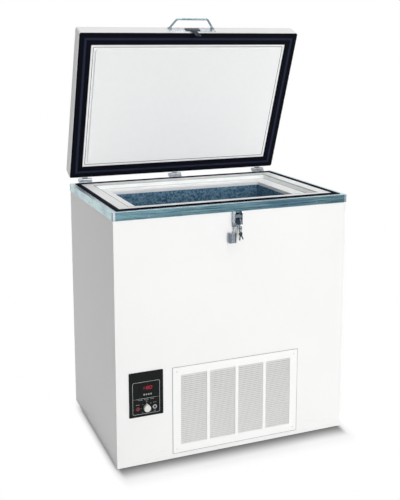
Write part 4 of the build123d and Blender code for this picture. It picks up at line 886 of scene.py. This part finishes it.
class Surround(Finish):
    """The world's own tree, built with the same calls."""

    def __init__(self, world):
        self.material = world
        self.tree = world.node_tree
        self.shader = next(n for n in self.tree.nodes if n.type == "BACKGROUND")


world = bpy.data.worlds.new("studio")
world.use_nodes = True
scene.world = world
sky = Surround(world)
sky.set(Color=sky.blend(seen_directly(sky), room_grey, white), Strength=1.0)


def flat_sheet(name, x_range, y_range, height, material):
    """A level sheet of the studio, linked to the scene."""
    (left_x, right_x), (near_y, far_y) = x_range, y_range
    corners = [(left_x, near_y), (right_x, near_y), (right_x, far_y), (left_x, far_y)]
    mesh = bpy.data.meshes.new(name)
    mesh.from_pydata([(x, y, height) for x, y in corners], [], [(0, 1, 2, 3)])
    mesh.materials.append(material)
    sheet = bpy.data.objects.new(name, mesh)
    scene.collection.objects.link(sheet)
    return sheet


# The floor is white where it is seen directly, and carries a painted soft shadow round the cabinet's foot
floor_finish = Finish("studio_floor")
floor_tone = floor_finish.noise(floor_finish.place(), 3.0, 2)
spread = floor_finish.place()
for operation, amounts in (
    ("ADD", (0.0, 0.07, 0.0)),
    ("ABSOLUTE", (0.0, 0.0, 0.0)),
    ("SUBTRACT", (0.49, 0.27, 0.0)),
    ("MAXIMUM", (0.0, 0.0, 0.0)),
    ("MULTIPLY", (6.0, 1.7, 1.0)),
):
    spread = floor_finish.node("ShaderNodeVectorMath", {"operation": operation}, {0: spread, 1: amounts})
away = floor_finish.node("ShaderNodeVectorMath", {"operation": "LENGTH"}, {0: spread}, output="Value")
fade = floor_finish.band(away, 0.02, 0.3)
pale = floor_finish.blend(floor_tone, paint(226, 226, 226), paint(230, 230, 230))
# Painted shadow: the floor darkens close round the cabinet's foot.
painted_contact_shadow = floor_finish.band(away, 0.0, 0.17, 0.75, 0.0)
seen = seen_directly(floor_finish)
floor_finish.set(
    Base_Color=floor_finish.blend((1 - (1 - fade) * (1 - painted_contact_shadow)) * seen, pale, black),
    Roughness=0.9,
    Specular_IOR_Level=0.0,
    Emission_Color=floor_finish.blend(seen * (0.1 + fade * 0.9) * (1 - painted_contact_shadow), black, white),
    Emission_Strength=1.0,
)
floor = flat_sheet("floor", (-40, 40), (-40, 40), 0, floor_finish.material)


def soft_lamp(name, place, aim, size, power, spread=180, mirrored=True):
    """A round lamp; spread narrows its beam, and one that isn't mirrored leaves no bright spot on metal."""
    lamp = bpy.data.lights.new(name, "AREA")
    lamp.shape = "DISK"
    lamp.size = size
    lamp.energy = power
    lamp.spread = math.radians(spread)
    holder = bpy.data.objects.new(name, lamp)
    holder.visible_camera = False
    holder.visible_glossy = mirrored
    holder.location = place
    holder.rotation_mode = "QUATERNION"
    holder.rotation_quaternion = (Vector(aim) - Vector(place)).to_track_quat("-Z", "Y")
    scene.collection.objects.link(holder)


# The low lamp and the three narrow ones reach the lid's inner panel, which the key lamp leaves dull
soft_lamp("key_lamp", (1.0, -4.8, 2.3), (0, 0, 0.8), 2.4, 64)
soft_lamp("low_lamp", (0.3, -6.5, 0.7), (0, 0, 1.0), 3.0, 176, mirrored=False)
for side in (-0.42, -0.03, 0.36):
    soft_lamp("lid_lamp", (side, -1.2, 2.2), (side, 0.33, 1.06), 0.3, 0.12, spread=28, mirrored=False)
soft_lamp("top_lamp", (0.3, -1.7, 8.0), (0, 0, 0.6), 5.0, 212)
soft_lamp("back_lamp", (2.4, 6.0, 2.2), (0, 0.3, 0.9), 3.0, 150, mirrored=False)

# A dark card that only metal mirrors
card_finish = Finish("dark_card")
card_tone = card_finish.noise(card_finish.place(), 2.0)
card_finish.set(
    Base_Color=card_finish.blend(card_tone, paint(12, 24, 44), paint(20, 34, 56)),
    Roughness=0.9,
)
card = flat_sheet("dark_card", (0.7, 9), (-10, -2.8), 0.01, card_finish.material)
card.visible_camera = card.visible_diffuse = card.visible_shadow = False

view = bpy.data.cameras.new("camera")
view.lens = 59.28
view.sensor_width = 36
view.shift_y = -0.14
camera = bpy.data.objects.new("camera", view)
camera.location = (-1.3353, -3.2718, 1.6759)
azimuth, elevation = math.radians(21.97), math.radians(-9.595)
ahead = Vector(
    (math.sin(azimuth) * math.cos(elevation), math.cos(azimuth) * math.cos(elevation), math.sin(elevation))
)
camera.rotation_mode = "QUATERNION"
camera.rotation_quaternion = ahead.to_track_quat("-Z", "Y")
scene.collection.objects.link(camera)
scene.camera = camera
